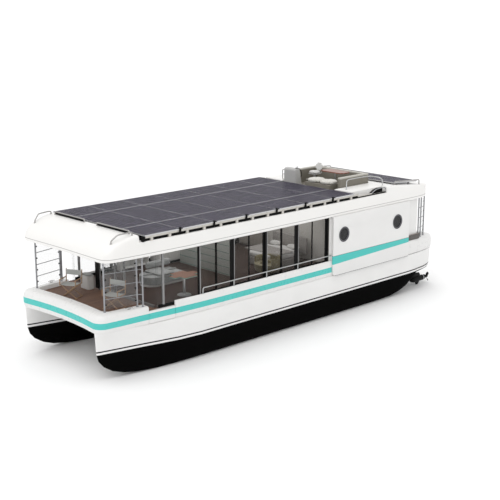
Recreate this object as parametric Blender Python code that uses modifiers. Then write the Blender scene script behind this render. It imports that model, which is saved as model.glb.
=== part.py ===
"""Twin-hull solar houseboat, built from its separate mouldings, frames, doors and fittings.

Metres, +Z up, bow towards +X, port side towards +Y. The origin is the middle of the footprint
at keel level, so the boat stands on the flat keel strips of its two hulls.
"""
import math

import bmesh
import bpy
from mathutils import Vector

# Driving dimensions
PITCH = 1.45                # one solar panel along the roof, the step of everything on it
BOW_X = 8.50                # front corners of the deck
TRANSOM_X = -8.30           # flat stern of hulls and deck
PROP_AFT_X = -8.50          # aft edge of the propeller blades
HALF_BEAM = 2.52            # deck side amidships
HULL_Y = 1.96               # centre plane of each hull
WATERLINE_Z = 0.84          # top of the dark bottom
HULL_TOP_Z = 1.61           # joint between hulls and deck moulding
BRIDGE_Z = 1.52             # underside of the bridge deck between the hulls
DECK_Z = 2.04               # top of the deck moulding inside the coaming
FLOOR_Z = 2.06              # walking surface of the laid floors
COAMING_Z = 2.20            # top of the coaming round the deck
LIP_Z = 3.85                # lower edge of the roof skirt
CEILING_Z = 4.12            # underside of the roof
LEDGE_Z = 4.35              # low part of the roof, which carries the panels
ROOF_Z = 4.57               # raised ends of the roof
PANEL_Z = 4.56              # top of the solar panels
GAP = 0.0003                # touching pieces keep this distance
RUN = 0.0005                # a sliding leaf over its track
CLEAR = 0.010               # a moving piece beside a fixed one

# Finishes: base colour, roughness, metallic
FINISHES = {
    "gelcoat_white": ((0.84, 0.83, 0.81), 0.35, 0.0),
    "roof_white": ((0.88, 0.87, 0.85), 0.40, 0.0),
    "teak": ((0.16, 0.075, 0.04), 0.55, 0.0),
    "dark_laminate": ((0.09, 0.05, 0.04), 0.45, 0.0),
    "solar_cell": ((0.05, 0.045, 0.075), 0.25, 0.1),
    "aluminium": ((0.62, 0.62, 0.63), 0.35, 0.9),
    "stainless": ((0.70, 0.70, 0.71), 0.20, 1.0),
    "dark_frame": ((0.05, 0.05, 0.055), 0.40, 0.5),
    "seat_shell": ((0.42, 0.40, 0.35), 0.60, 0.0),
    "cushion": ((0.78, 0.77, 0.73), 0.85, 0.0),
    "table_wood": ((0.33, 0.13, 0.08), 0.45, 0.0),
    "pod_black": ((0.015, 0.015, 0.016), 0.45, 0.2),
    "canvas": ((0.55, 0.55, 0.52), 0.90, 0.0),
    "cabinet": ((0.50, 0.50, 0.49), 0.50, 0.0),
}

for old in list(bpy.data.objects):
    bpy.data.objects.remove(old, do_unlink=True)

scene_root = bpy.context.scene.collection
boat = bpy.data.collections.new("houseboat")
cutters = bpy.data.collections.new("houseboat_cutters")
scene_root.children.link(boat)
scene_root.children.link(cutters)


def finish(name):
    """One Principled material for each finish."""
    known = bpy.data.materials.get(name)
    if known:
        return known
    colour, roughness, metallic = FINISHES[name]
    made = bpy.data.materials.new(name)
    made.use_nodes = True
    shader = made.node_tree.nodes["Principled BSDF"]
    shader.inputs["Base Color"].default_value = (*colour, 1.0)
    shader.inputs["Roughness"].default_value = roughness
    shader.inputs["Metallic"].default_value = metallic
    return made


def place(mesh, name, collection):
    """A new object for a mesh in one of the two collections."""
    made = bpy.data.objects.new(name, mesh)
    collection.objects.link(made)
    return made


def from_bmesh(shape, name):
    """A mesh from a bmesh, with faces outwards."""
    shape.normal_update()
    bmesh.ops.recalc_face_normals(shape, faces=shape.faces)
    mesh = bpy.data.meshes.new(name)
    shape.to_mesh(mesh)
    shape.free()
    return mesh


def box_mesh(name, low, high, turn=0.0):
    """A box between two corners, turned about its own centre on the vertical axis."""
    shape = bmesh.new()
    bmesh.ops.create_cube(shape, size=1.0)
    low, high = Vector(low), Vector(high)
    centre = (low + high) / 2
    size = high - low
    for vert in shape.verts:
        x, y, z = vert.co.x * size.x, vert.co.y * size.y, vert.co.z * size.z
        vert.co = centre + Vector((x * math.cos(turn) - y * math.sin(turn),
                                   x * math.sin(turn) + y * math.cos(turn), z))
    return from_bmesh(shape, name)


def round_mesh(name, start, end, radius, end_radius=None, sides=16):
    """A cylinder or cone between two points."""
    shape = bmesh.new()
    start, end = Vector(start), Vector(end)
    axis = end - start
    bmesh.ops.create_cone(shape, cap_ends=True, segments=sides, radius1=radius,
                          radius2=radius if end_radius is None else end_radius, depth=axis.length)
    turn = Vector((0, 0, 1)).rotation_difference(axis)
    for vert in shape.verts:
        vert.co = turn @ vert.co + (start + end) / 2
    return from_bmesh(shape, name)


def turned_mesh(name, profile, start, direction, steps=16):
    """A turned shape: pairs of distance along the axis and radius, from one tip to the other."""
    outline = bpy.data.meshes.new(name)
    outline.from_pydata([(radius, 0.0, -along) for along, radius in profile],
                        [(k, k + 1) for k in range(len(profile) - 1)], [])
    holder = bpy.data.objects.new(name, outline)
    cutters.objects.link(holder)
    screw = holder.modifiers.new("turn", "SCREW")
    screw.steps = steps
    screw.render_steps = steps
    screw.use_merge_vertices = True
    screw.merge_threshold = 0.0001
    depsgraph = bpy.context.evaluated_depsgraph_get()
    mesh = bpy.data.meshes.new_from_object(holder.evaluated_get(depsgraph))
    bpy.data.objects.remove(holder, do_unlink=True)
    shape = bmesh.new()
    shape.from_mesh(mesh)
    bmesh.ops.remove_doubles(shape, verts=shape.verts, dist=0.00005)
    turn = Vector((0, 0, -1)).rotation_difference(Vector(direction))
    for vert in shape.verts:
        vert.co = turn @ vert.co + Vector(start)
    return from_bmesh(shape, name)


def solid_from_curve(curve, name):
    """The evaluated curve as a closed mesh with its caps welded."""
    holder = bpy.data.objects.new(name, curve)
    cutters.objects.link(holder)
    depsgraph = bpy.context.evaluated_depsgraph_get()
    mesh = bpy.data.meshes.new_from_object(holder.evaluated_get(depsgraph))
    shape = bmesh.new()
    shape.from_mesh(mesh)
    bmesh.ops.remove_doubles(shape, verts=shape.verts, dist=0.00005)
    bpy.data.objects.remove(holder, do_unlink=True)
    bpy.data.meshes.remove(mesh)
    return from_bmesh(shape, name)


def tube_mesh(name, points, radius, closed=False, resolution=2):
    """A round tube through points, with filled ends."""
    curve = bpy.data.curves.new(name, "CURVE")
    curve.dimensions = "3D"
    curve.bevel_depth = radius
    curve.bevel_resolution = resolution
    curve.use_fill_caps = not closed
    line = curve.splines.new("POLY")
    line.points.add(len(points) - 1)
    line.use_cyclic_u = closed
    for point, where in zip(line.points, points):
        point.co = (*where, 1.0)
    return solid_from_curve(curve, name)


def flat_mesh(name, outlines, low, high, plane):
    """Flat outlines with holes, filled and given thickness along the third axis.

    plane is XY, XZ or YZ; the outlines are pairs in that plane.
    """
    curve = bpy.data.curves.new(name, "CURVE")
    curve.dimensions = "2D"
    curve.fill_mode = "BOTH"
    curve.extrude = (high - low) / 2
    for outline in outlines:
        line = curve.splines.new("POLY")
        line.points.add(len(outline) - 1)
        line.use_cyclic_u = True
        for point, (u, v) in zip(line.points, outline):
            point.co = (u, v, 0.0, 1.0)
    mesh = solid_from_curve(curve, name)
    middle = (low + high) / 2
    for vert in mesh.vertices:
        u, v, w = vert.co
        if plane == "XY":
            vert.co = (u, v, w + middle)
        elif plane == "XZ":
            vert.co = (u, middle + w, v)
        else:
            vert.co = (middle + w, u, v)
    shape = bmesh.new()
    shape.from_mesh(mesh)
    return from_bmesh(shape, name)


def loft_mesh(name, rings):
    """Closed skin through rings of equally many points, capped at both ends."""
    shape = bmesh.new()
    rows = [[shape.verts.new(point) for point in ring] for ring in rings]
    count = len(rows[0])
    for lower, upper in zip(rows, rows[1:]):
        for i in range(count):
            j = (i + 1) % count
            shape.faces.new((lower[i], lower[j], upper[j], upper[i]))
    shape.faces.new(list(reversed(rows[0])))
    shape.faces.new(rows[-1])
    return from_bmesh(shape, name)


def boolean(target, tool_mesh, operation):
    """Cut a tool mesh from a target, or join it on, with a live modifier."""
    tool = place(tool_mesh, target.name + "_" + tool_mesh.name, cutters)
    tool.hide_render = True
    tool.display_type = "WIRE"
    step = target.modifiers.new(tool_mesh.name, "BOOLEAN")
    step.operation = operation
    step.solver = "EXACT"
    step.object = tool


def part(name, colour, base, openings=(), joined=(), cut=()):
    """One named piece: a base solid with openings, then what is joined to it, then what is cut away."""
    made = place(base, name, boat)
    made.data.materials.append(finish(colour))
    for mesh in openings:
        boolean(made, mesh, "DIFFERENCE")
    for mesh in joined:
        boolean(made, mesh, "UNION")
    for mesh in cut:
        boolean(made, mesh, "DIFFERENCE")
    return made


def on_axis(piece, axis_point):
    """Move a piece's origin onto its joint axis without moving its shape."""
    shift = Vector(axis_point)
    for mesh in [piece.data] + [step.object.data for step in piece.modifiers if step.type == "BOOLEAN"]:
        for vert in mesh.vertices:
            vert.co -= shift
    piece.location = shift
    for step in piece.modifiers:
        if step.type == "BOOLEAN":
            step.object.location = shift


def mirrored(points):
    """Half an outline, from bow to stern with y above 0, closed round the other side."""
    return list(points) + [(x, -y) for x, y in reversed(points) if y > 0.0001]


def arc(cx, cy, rx, ry, start, end, steps):
    """Points on an elliptic arc, angles in degrees."""
    found = []
    for k in range(steps + 1):
        angle = math.radians(start + (end - start) * k / steps)
        found.append((cx + rx * math.cos(angle), cy + ry * math.sin(angle)))
    return found


def rectangle(u0, u1, v0, v1):
    """Corners of an upright rectangle."""
    return [(u0, v0), (u1, v0), (u1, v1), (u0, v1)]


SIDES = (("port", 1), ("starboard", -1))

# Deck plan, one half: a hollow front edge, a round corner, a side that widens to the full beam,
# and a stern that draws in again. Columns: x, y
DECK_SIDE = ((7.74, 2.300), (6.98, 2.345), (6.19, 2.405), (5.40, 2.460), (4.65, 2.500), (3.60, HALF_BEAM),
             (-6.50, HALF_BEAM), (-7.20, 2.480), (-7.80, 2.400), (-8.12, 2.310))
FRONT_HOLLOW = 0.15         # how far the middle of the front edge lies behind the corners
FRONT_CORNER = (0.32, 0.33)  # size of the deck's round corner along x and y
FRONT_CORNER_Y = 1.93       # where the round corner of the deck starts


def deck_half():
    """The outer edge of the deck moulding from the bow's middle to the stern's middle."""
    front = [(BOW_X - FRONT_HOLLOW * (1 - (y / FRONT_CORNER_Y) ** 2), y) for y in (0.0, 0.62, 1.24)]
    corner = arc(BOW_X - FRONT_CORNER[0], FRONT_CORNER_Y, *FRONT_CORNER, 0, 90, 5)
    stern = [(TRANSOM_X + 0.03, 2.22), (TRANSOM_X, 2.10), (TRANSOM_X, 0.0)]
    return front + corner + list(DECK_SIDE) + stern


def side_y(x):
    """Half beam of the deck at a station along its side."""
    for (x1, y1), (x0, y0) in zip(DECK_SIDE, DECK_SIDE[1:]):
        if x0 <= x <= x1:
            return y0 + (y1 - y0) * (x - x0) / (x1 - x0)
    return DECK_SIDE[0][1]


def inset(points, distance):
    """A half outline moved inwards, each point along the mean of its edges' normals."""
    full = mirrored(points)
    found = []
    for i, (x, y) in enumerate(points):
        x0, y0 = full[i - 1]
        x1, y1 = full[(i + 1) % len(full)]
        run = Vector((x1 - x0, y1 - y0)).normalized()
        moved = (x + run.y * -distance, y + run.x * distance)
        found.append((moved[0], 0.0 if y < 0.0001 else moved[1]))
    return found


# Hulls: stations from the transom to the stem. Columns: x, keel height, half breadths of the keel
# flat, of the waterline, of the knuckle and of the top, and what the outer side draws in
HULL_STATIONS = (
    (TRANSOM_X, 0.80, 0.42, 0.50, 0.53, 0.55, 0.35),
    (-8.00, 0.79, 0.42, 0.50, 0.53, 0.55, 0.20),
    (-7.60, 0.78, 0.40, 0.51, 0.54, 0.55, 0.09),
    (-7.12, 0.75, 0.38, 0.52, 0.54, 0.55, 0.04),
    (-6.98, 0.65, 0.36, 0.53, 0.54, 0.55, 0.02),
    (-6.78, 0.47, 0.34, 0.53, 0.54, 0.55, 0.01),
    (-6.48, 0.26, 0.32, 0.54, 0.55, 0.55, 0.00),
    (-6.10, 0.11, 0.30, 0.54, 0.55, 0.55, 0.00),
    (-5.60, 0.03, 0.29, 0.54, 0.55, 0.55, 0.00),
    (-4.90, 0.00, 0.28, 0.54, 0.55, 0.55, 0.00),
    (4.60, 0.00, 0.28, 0.54, 0.55, 0.55, 0.00),
    (5.50, 0.00, 0.26, 0.49, 0.50, 0.50, 0.00),
    (6.20, 0.00, 0.21, 0.38, 0.41, 0.44, 0.00),
    (6.95, 0.05, 0.15, 0.25, 0.31, 0.38, 0.00),
    (7.50, 0.13, 0.10, 0.16, 0.23, 0.32, 0.00),
    (7.90, 0.26, 0.06, 0.10, 0.16, 0.26, 0.00),
    (8.18, 0.44, 0.04, 0.06, 0.10, 0.19, 0.00),
    (8.36, 0.66, 0.025, 0.035, 0.05, 0.10, 0.00),
    (8.43, 0.90, 0.012, 0.018, 0.02, 0.03, 0.00),
)
KNUCKLE_Z = 1.38            # soft edge under the flared top of the bow
STEM_RAKE = 0.036           # forward lean of a section, for each metre forward of the next station
RAKE_START_X = 7.0


def hull_section(side, x, keel, keel_half, water_half, knuckle_half, top_half, trim):
    """One closed section of a hull: outer side down, across the keel, inner side up."""
    water = max(WATERLINE_Z, keel + 0.05)
    bilge = [(keel_half + (water_half - keel_half) * math.cos(math.radians(t)),
              water - (water - keel) * math.sin(math.radians(t))) for t in (35, 62, 90)]
    half = [(top_half, HULL_TOP_Z), (knuckle_half, KNUCKLE_Z), (water_half, water)] + bilge
    lean = STEM_RAKE * max(0.0, x - RAKE_START_X)
    outer = [(x + lean * (z - WATERLINE_Z), side * (HULL_Y + b - trim), z) for b, z in half]
    inner = [(x + lean * (z - WATERLINE_Z), side * (HULL_Y - b), z) for b, z in reversed(half)]
    return outer + inner


# Steering pods: each turns on an upright stock in a boss under its hull
POD_X = -7.62               # steering axis
BOSS_R = 0.13
BOSS_Z = (0.66, 0.80)
STOCK_R = 0.025
STOCK_TOP_Z = 0.83
BORE_R = 0.02545            # measured over the corners of its facets
ROUND_SIDES = 32


def build_hulls():
    for word, side in SIDES:
        y = side * HULL_Y
        rings = [hull_section(side, *row) for row in HULL_STATIONS]
        boss = round_mesh("boss", (POD_X, y, BOSS_Z[0]), (POD_X, y, BOSS_Z[1]), BOSS_R, sides=24)
        bore = round_mesh("bore", (POD_X, y, BOSS_Z[0] - 0.1), (POD_X, y, STOCK_TOP_Z + GAP), BORE_R,
                          sides=ROUND_SIDES)
        part("hull_" + word, "gelcoat_white", loft_mesh("hull", rings), joined=[boss], cut=[bore])


# Fold-down boarding gates in the sides of the deck
GATE_X = (5.645, 6.655)
GATE_Z = (1.63, 2.035)
GATE_THICK = 0.05
GATE_TURN = math.atan2(side_y(GATE_X[1]) - side_y(GATE_X[0]), GATE_X[1] - GATE_X[0])
GATE_Y = (side_y(GATE_X[0]) + side_y(GATE_X[1])) / 2 - 0.004

# Well of the deck inside the coaming. Columns: x, y
WELL_HALF = ((7.94, 0.0), (7.97, 0.9), (8.03, 1.70), (8.00, 1.83), (7.90, 1.93), (6.665, 2.05),
             (6.665, 2.345), (6.30, 2.345), (5.64, 2.385), (4.62, 2.45), (-6.60, 2.45), (-7.03, 2.44),
             (-7.06, 2.33), (-7.60, 2.18), (-7.85, 2.04), (-7.95, 1.85), (-7.95, 0.0))


# Section of the deck's edge. Columns: height, what it draws in along the sides and at the round ends
DECK_EDGE = ((HULL_TOP_Z + GAP, 0.035, 0.035), (1.70, 0.004, 0.004), (1.76, 0.0, 0.0), (1.98, 0.0, 0.0),
             (2.07, 0.0, 0.018), (2.13, 0.001, 0.055), (2.175, 0.008, 0.11), (COAMING_Z, 0.028, 0.18))
ROUND_FROM = (6.90, -7.20)  # the edge grows rounder forward and aft of these stations
ROUND_OVER = 0.80


def edge_ring(half, side_off, end_off):
    """The deck's outline drawn in, more at the bow and the stern than along the sides."""
    found = []
    for (x, _), (x0, y0), (x1, y1) in zip(half, inset(half, side_off), inset(half, end_off)):
        share = min(1.0, max(0.0, x - ROUND_FROM[0], ROUND_FROM[1] - x) / ROUND_OVER)
        found.append((x0 + (x1 - x0) * share, y0 + (y1 - y0) * share))
    return found


def build_deck():
    half = deck_half()
    rings = [[(x, y, z) for x, y in mirrored(edge_ring(half, side_off, end_off))]
             for z, side_off, end_off in DECK_EDGE]
    bridge = box_mesh("bridge", (TRANSOM_X + 0.02, -1.405, BRIDGE_Z), (8.05, 1.405, 1.80))
    cut = [flat_mesh("well", [mirrored(WELL_HALF)], DECK_Z, COAMING_Z + 0.3, "XY")]
    for word, side in SIDES:
        low = (GATE_X[0] - CLEAR, side * GATE_Y - 0.3, GATE_Z[0] - RUN)
        high = (GATE_X[1] + CLEAR, side * GATE_Y + 0.3, COAMING_Z + 0.3)
        notch = box_mesh("notch_" + word, low, high, side * GATE_TURN)
        outwards = Vector((-math.sin(side * GATE_TURN), math.cos(GATE_TURN), 0)) * side
        for vert in notch.vertices:
            vert.co += outwards * (0.3 - GATE_THICK - CLEAR)
        cut.append(notch)
    part("deck_moulding", "gelcoat_white", loft_mesh("deck", rings), joined=[bridge], cut=cut)


def build_gates():
    for word, side in SIDES:
        low = (GATE_X[0], side * GATE_Y - GATE_THICK / 2, GATE_Z[0])
        high = (GATE_X[1], side * GATE_Y + GATE_THICK / 2, GATE_Z[1])
        gate = box_mesh("gate", low, high, side * GATE_TURN)
        inwards = Vector((math.sin(side * GATE_TURN), -math.cos(GATE_TURN), 0)) * side * GATE_THICK / 2
        for vert in gate.vertices:
            vert.co += inwards
        made = part("gate_" + word, "gelcoat_white", gate)
        on_axis(made, ((GATE_X[0] + GATE_X[1]) / 2, side * GATE_Y, GATE_Z[0]))


FRONT_WALL_X = (6.30, 6.36)
AFT_WALL_X = (-7.03, -6.98)
MID_WALL_X = (-1.745, -1.705)


def build_floors():
    z = (DECK_Z + GAP, FLOOR_Z)
    fore = ((7.93, 0.0), (7.96, 0.9), (8.02, 1.69), (7.99, 1.82), (7.89, 1.92), (6.66, 2.04), (6.66, 2.33),
            (FRONT_WALL_X[0] + 0.002, 2.335), (FRONT_WALL_X[0] + 0.002, 0.0))
    part("floor_fore", "teak", flat_mesh("floor", [mirrored(fore)], z[0], z[1], "XY"))
    cabin = ((FRONT_WALL_X[0], 0.0), (FRONT_WALL_X[0], 2.335), (5.64, 2.375), (4.62, 2.445), (-6.60, 2.445),
             (AFT_WALL_X[0], 2.435), (AFT_WALL_X[0], 0.0))
    part("floor_cabin", "dark_laminate", flat_mesh("floor", [mirrored(cabin)], z[0], z[1], "XY"))
    aft = ((AFT_WALL_X[0] - 0.002, 0.0), (AFT_WALL_X[0] - 0.002, 2.31), (-7.07, 2.31), (-7.59, 2.165),
           (-7.84, 2.025), (-7.94, 1.84), (-7.94, 0.0))
    part("floor_aft", "teak", flat_mesh("floor", [mirrored(aft)], z[0], z[1], "XY"))


# Roof plan, one half. Columns: x, y
ROOF_HALF = ((8.24, 0.0), (8.25, 0.70), (8.27, 1.40), (8.28, 1.95), (8.26, 2.14), (8.18, 2.27), (8.03, 2.345),
             (7.70, 2.395), (6.90, 2.45), (6.10, 2.49), (5.20, HALF_BEAM), (-6.60, HALF_BEAM), (-7.20, 2.48),
             (-7.55, 2.38), (-7.75, 2.22), (-7.80, 2.00), (-7.80, 0.0))
NOSE_X = 6.95               # where the front of the roof starts to round down
NOSE_BASE_Z = 3.90
LEDGE_X = (-4.91, 7.03)     # the roof's edges are low between these stations
FLY_X = (-5.10, -3.08)      # outside of the flybridge liner
FLY_Y = (-1.30, 1.42)
SIDE_DECK_Y = 2.27          # outer edge of the raised decks beside the flybridge
SKIRT = 0.05                # thickness of the roof skirt
CAVITY_FRONT = (7.70, 2.26)  # front corner of the hollow under the roof
FALL_X = (-5.35, -7.80)     # the roof falls towards its aft edge between these stations
FALL_END_Z = 4.31
FALL_EASE = 0.06            # the falling part keeps its edges eased by this much

# Feet of the roof's front grab rails, each in a socket of the roof. Columns: x, y, z of its floor
TUBE_R = 0.019
FORE_FEET = ((7.86, 2.10, 4.31), (7.14, 2.23, 4.50))
MID_FEET = ((7.10, 0.34, 4.50), (7.10, 2.04, 4.50))


def roof_top(x):
    """Height of the roof's raised top at a station."""
    share = max(0.0, (FALL_X[0] - x) / (FALL_X[0] - FALL_X[1]))
    return ROOF_Z - (ROOF_Z - FALL_END_Z) * share


def under_cut(name, y0, y1, rise0, rise1):
    """A block over the falling part of the roof: its underside follows the fall, at a rise for each edge."""
    aft = FALL_X[1] - 0.4
    mesh = box_mesh(name, (aft, y0, 0.0), (FALL_X[0], y1, ROOF_Z + 0.4))
    for vert in mesh.vertices:
        if vert.co.z < 1.0:
            vert.co.z = roof_top(vert.co.x) + (rise0 if vert.co.y < (y0 + y1) / 2 else rise1)
    return mesh


def nose_scale(z):
    """How much of the nose's length is left at a height: a quarter ellipse."""
    rise = max(0.0, min(1.0, (z - NOSE_BASE_Z) / (ROOF_Z - NOSE_BASE_Z)))
    return math.sqrt(max(0.0, 1 - rise * rise))


def build_roof():
    levels = ((LIP_Z, 0.012), (3.865, 0.0), (3.95, 0.0), (4.06, 0.0), (4.18, 0.0), (4.28, 0.0), (4.38, 0.002),
              (4.46, 0.005), (4.52, 0.012), (4.555, 0.025), (ROOF_Z, 0.05))
    rings = []
    for z, off in levels:
        keep = nose_scale(z)
        ring = [(x if x < NOSE_X else NOSE_X + (x - NOSE_X) * max(keep, 0.06), y)
                for x, y in inset(ROOF_HALF, off)]
        rings.append([(x, y, z) for x, y in mirrored(ring)])
    inside = [(x, y) for x, y in inset(ROOF_HALF, SKIRT) if x < CAVITY_FRONT[0]]
    inside = [(CAVITY_FRONT[0], 0.0), CAVITY_FRONT] + inside
    top = ROOF_Z + 0.3
    cut = [flat_mesh("cavity", [mirrored(inside)], LIP_Z - 0.3, CEILING_Z, "XY"),
           box_mesh("ledge", (FLY_X[1] - 0.02, -3.0, LEDGE_Z), (LEDGE_X[1], 3.0, top)),
           box_mesh("cockpit", (FLY_X[0] - 0.02, FLY_Y[0] - 0.02, LEDGE_Z), (FLY_X[1], FLY_Y[1] + 0.02, top))]
    cut.append(under_cut("fall", -3.0, 3.0, 0.0, 0.0))
    chamfer = 4 * FALL_EASE
    for word, side in SIDES:
        edge = side * (HALF_BEAM - FALL_EASE)
        ys, rises = (edge, edge + side * chamfer), (0.0, -chamfer)
        if side < 0:
            ys, rises = ys[::-1], rises[::-1]
        cut.append(under_cut("ease_" + word, *ys, *rises))
        ys = sorted((side * SIDE_DECK_Y, side * 3.0))
        cut.append(box_mesh("edge_" + word, (LEDGE_X[0], ys[0], LEDGE_Z), (FLY_X[1], ys[1], top)))
        for k, (x, y, z) in enumerate(FORE_FEET + MID_FEET):
            cut.append(round_mesh("socket%d_%s" % (k, word), (x, side * y, z), (x, side * y, top),
                                  TUBE_R + 0.0008, sides=16))
    part("roof_shell", "roof_white", loft_mesh("roof", rings), cut=cut)


ARRAY_X = (-3.00, 6.88)
ROW_EDGE_Y = 1.26
RAIL_Y = (2.455, 2.495)
RAIL_Z = (4.41, 4.52)
RAIL_FOOT = 0.06            # length of a foot under the side rails
PANEL_THICK = 0.04
AFT_PANEL_X = (-7.08, -5.60)
AFT_PANEL_Y = 2.28
AFT_PANEL_Z = (4.59, 4.50)  # underside at the front and at the aft edge
# Feet of the aft panel. Columns: x, y, and how high the foot goes into the panel
AFT_FEET = ((-5.8, -2.0, 4.60), (-5.8, 2.0, 4.60), (-6.9, -2.0, 4.53), (-6.9, 2.0, 4.53))


def build_array():
    low, high = PANEL_Z - PANEL_THICK, PANEL_Z
    rows = (("solar_port", ROW_EDGE_Y + 0.005, HALF_BEAM, (1.45, 2.20)),
            ("solar_middle", -ROW_EDGE_Y + 0.005, ROW_EDGE_Y - 0.005, (-0.90, 0.0, 0.90)),
            ("solar_starboard", -HALF_BEAM, -ROW_EDGE_Y - 0.005, (-2.20, -1.45)))
    for name, y0, y1, beams in rows:
        base = box_mesh("panels", (ARRAY_X[0], y0, low), (ARRAY_X[1], y1, high))
        under = [box_mesh("beam%d" % k, (ARRAY_X[0] + 0.05, y - 0.025, LEDGE_Z + GAP),
                          (ARRAY_X[1] - 0.05, y + 0.025, low + 0.01)) for k, y in enumerate(beams)]
        part(name, "solar_cell", base, joined=under)
    for word, side in SIDES:
        ys = sorted((side * RAIL_Y[0], side * RAIL_Y[1]))
        base = box_mesh("rail", (ARRAY_X[0] - 0.25, ys[0], RAIL_Z[0]), (ARRAY_X[1] - 0.05, ys[1], low - GAP))
        feet = []
        x = ARRAY_X[1] - 0.25
        while x > ARRAY_X[0] - 0.2:
            feet.append(box_mesh("foot", (x - RAIL_FOOT, ys[0] - 0.01, LEDGE_Z + GAP),
                                 (x, ys[1] + 0.01, RAIL_Z[0] + 0.01)))
            x -= PITCH / 2
        part("array_rail_" + word, "aluminium", base, joined=feet)
    (x0, x1), (z0, z1) = AFT_PANEL_X, AFT_PANEL_Z
    section = [(x1, z0), (x1, z0 + PANEL_THICK), (x0, z1 + PANEL_THICK), (x0, z1)]
    base = flat_mesh("aft_panel", [section], -AFT_PANEL_Y, AFT_PANEL_Y, "XZ")
    feet = [box_mesh("foot%d" % k, (x - 0.03, y - 0.03, FALL_END_Z), (x + 0.03, y + 0.03, top))
            for k, (x, y, top) in enumerate(AFT_FEET)]
    for foot in feet:
        for vert in foot.vertices:
            if vert.co.z < FALL_END_Z + GAP:
                vert.co.z = roof_top(vert.co.x) + GAP
    part("solar_aft", "solar_cell", base, joined=feet)


GRAB_Z = 4.66               # top of the roof's grab rails
AFT_GRAB_X = (-7.12, -5.56)
AFT_GRAB_Y = 2.36


def build_grab_rails():
    for word, side in SIDES:
        (x0, y0, z0), (x1, y1, z1) = FORE_FEET
        fore = [(x0, side * y0, z0 + GAP), (x0, side * y0, 4.46),
                (x0 - 0.20, side * (y0 + 0.08), GRAB_Z - 0.02), (x1 + 0.08, side * y1, GRAB_Z),
                (x1, side * y1, GRAB_Z - 0.04), (x1, side * y1, z1 + GAP)]
        part("grab_rail_fore_" + word, "stainless", tube_mesh("rail", fore, TUBE_R))
        (x, y0, z0), (x, y1, z1) = MID_FEET
        mid = [(x, side * y0, z0 + GAP), (x, side * y0, GRAB_Z - 0.04), (x, side * (y0 + 0.04), GRAB_Z),
               (x, side * (y1 - 0.04), GRAB_Z), (x, side * y1, GRAB_Z - 0.04), (x, side * y1, z1 + GAP)]
        part("grab_rail_mid_" + word, "stainless", tube_mesh("rail", mid, TUBE_R))
        x0, x1 = AFT_GRAB_X
        y = side * AFT_GRAB_Y
        foot1, foot0 = roof_top(x1 + TUBE_R) + GAP, roof_top(x0 + TUBE_R) + GAP
        aft = [(x1, y, foot1), (x1, y, foot1 + 0.10), (x1 - 0.05, y, foot1 + 0.13),
               (x0 + 0.05, y, foot0 + 0.19), (x0, y, foot0 + 0.16), (x0, y, foot0)]
        part("grab_rail_aft_" + word, "stainless", tube_mesh("rail", aft, TUBE_R))


POST_R = 0.028
BAR_R = 0.012
BARS_Z = (2.60, 3.00, 3.41)
# Posts of the open ends of the roof: the outermost stands under the skirt. Columns: x, y
FORE_POSTS = ((8.03, 1.90), (6.93, 2.13), (6.80, 2.25))
AFT_POSTS = ((-7.66, 2.25), (-7.34, 2.345), (-7.14, 2.385))


def post_frame(name, posts, tops, base_z):
    """Upright posts joined by cross bars, with a glass screen between the first two."""
    meshes = [round_mesh("post%d" % k, (x, y, base_z), (x, y, top), POST_R, sides=12)
              for k, ((x, y), top) in enumerate(zip(posts, tops))]
    bars = [round_mesh("bar%d_%d" % (k, n), (*a, z), (*b, z), BAR_R, sides=8)
            for k, (a, b) in enumerate(zip(posts, posts[1:])) for n, z in enumerate(BARS_Z)]
    a, b = Vector(posts[0]), Vector(posts[1])
    middle = (a + b) / 2
    reach = (b - a).length / 2
    turn = math.atan2((b - a).y, (b - a).x)
    pane = box_mesh("screen", (middle.x - reach, middle.y - 0.004, base_z + 0.10),
                    (middle.x + reach, middle.y + 0.004, LIP_Z - 0.10), turn)
    part(name, "aluminium", meshes[0], joined=meshes[1:] + bars + [pane])


def build_posts():
    for word, side in SIDES:
        fore = [(x, side * y) for x, y in FORE_POSTS]
        tops = (LIP_Z - GAP, CEILING_Z - GAP, CEILING_Z - GAP)
        post_frame("post_frame_fore_" + word, fore, tops, COAMING_Z + GAP)
        aft = [(x, side * y) for x, y in AFT_POSTS]
        post_frame("post_frame_aft_" + word, aft, tops, COAMING_Z + GAP)


FRAME_Z = (FLOOR_Z + GAP, CEILING_Z - GAP)
HOLE_Z = (2.14, 3.98)
GLASS = 0.012
SIDE_FRAME_Y = (2.37, 2.44)
FRAME_BEND_X = 4.58
# Window bays along each side: front and aft edge of the opening, and whether its aft leaf slides
BAYS = ((4.54, 3.13, True), (3.05, 1.58, False), (1.50, 0.01, True), (-0.07, -1.62, False))


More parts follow.
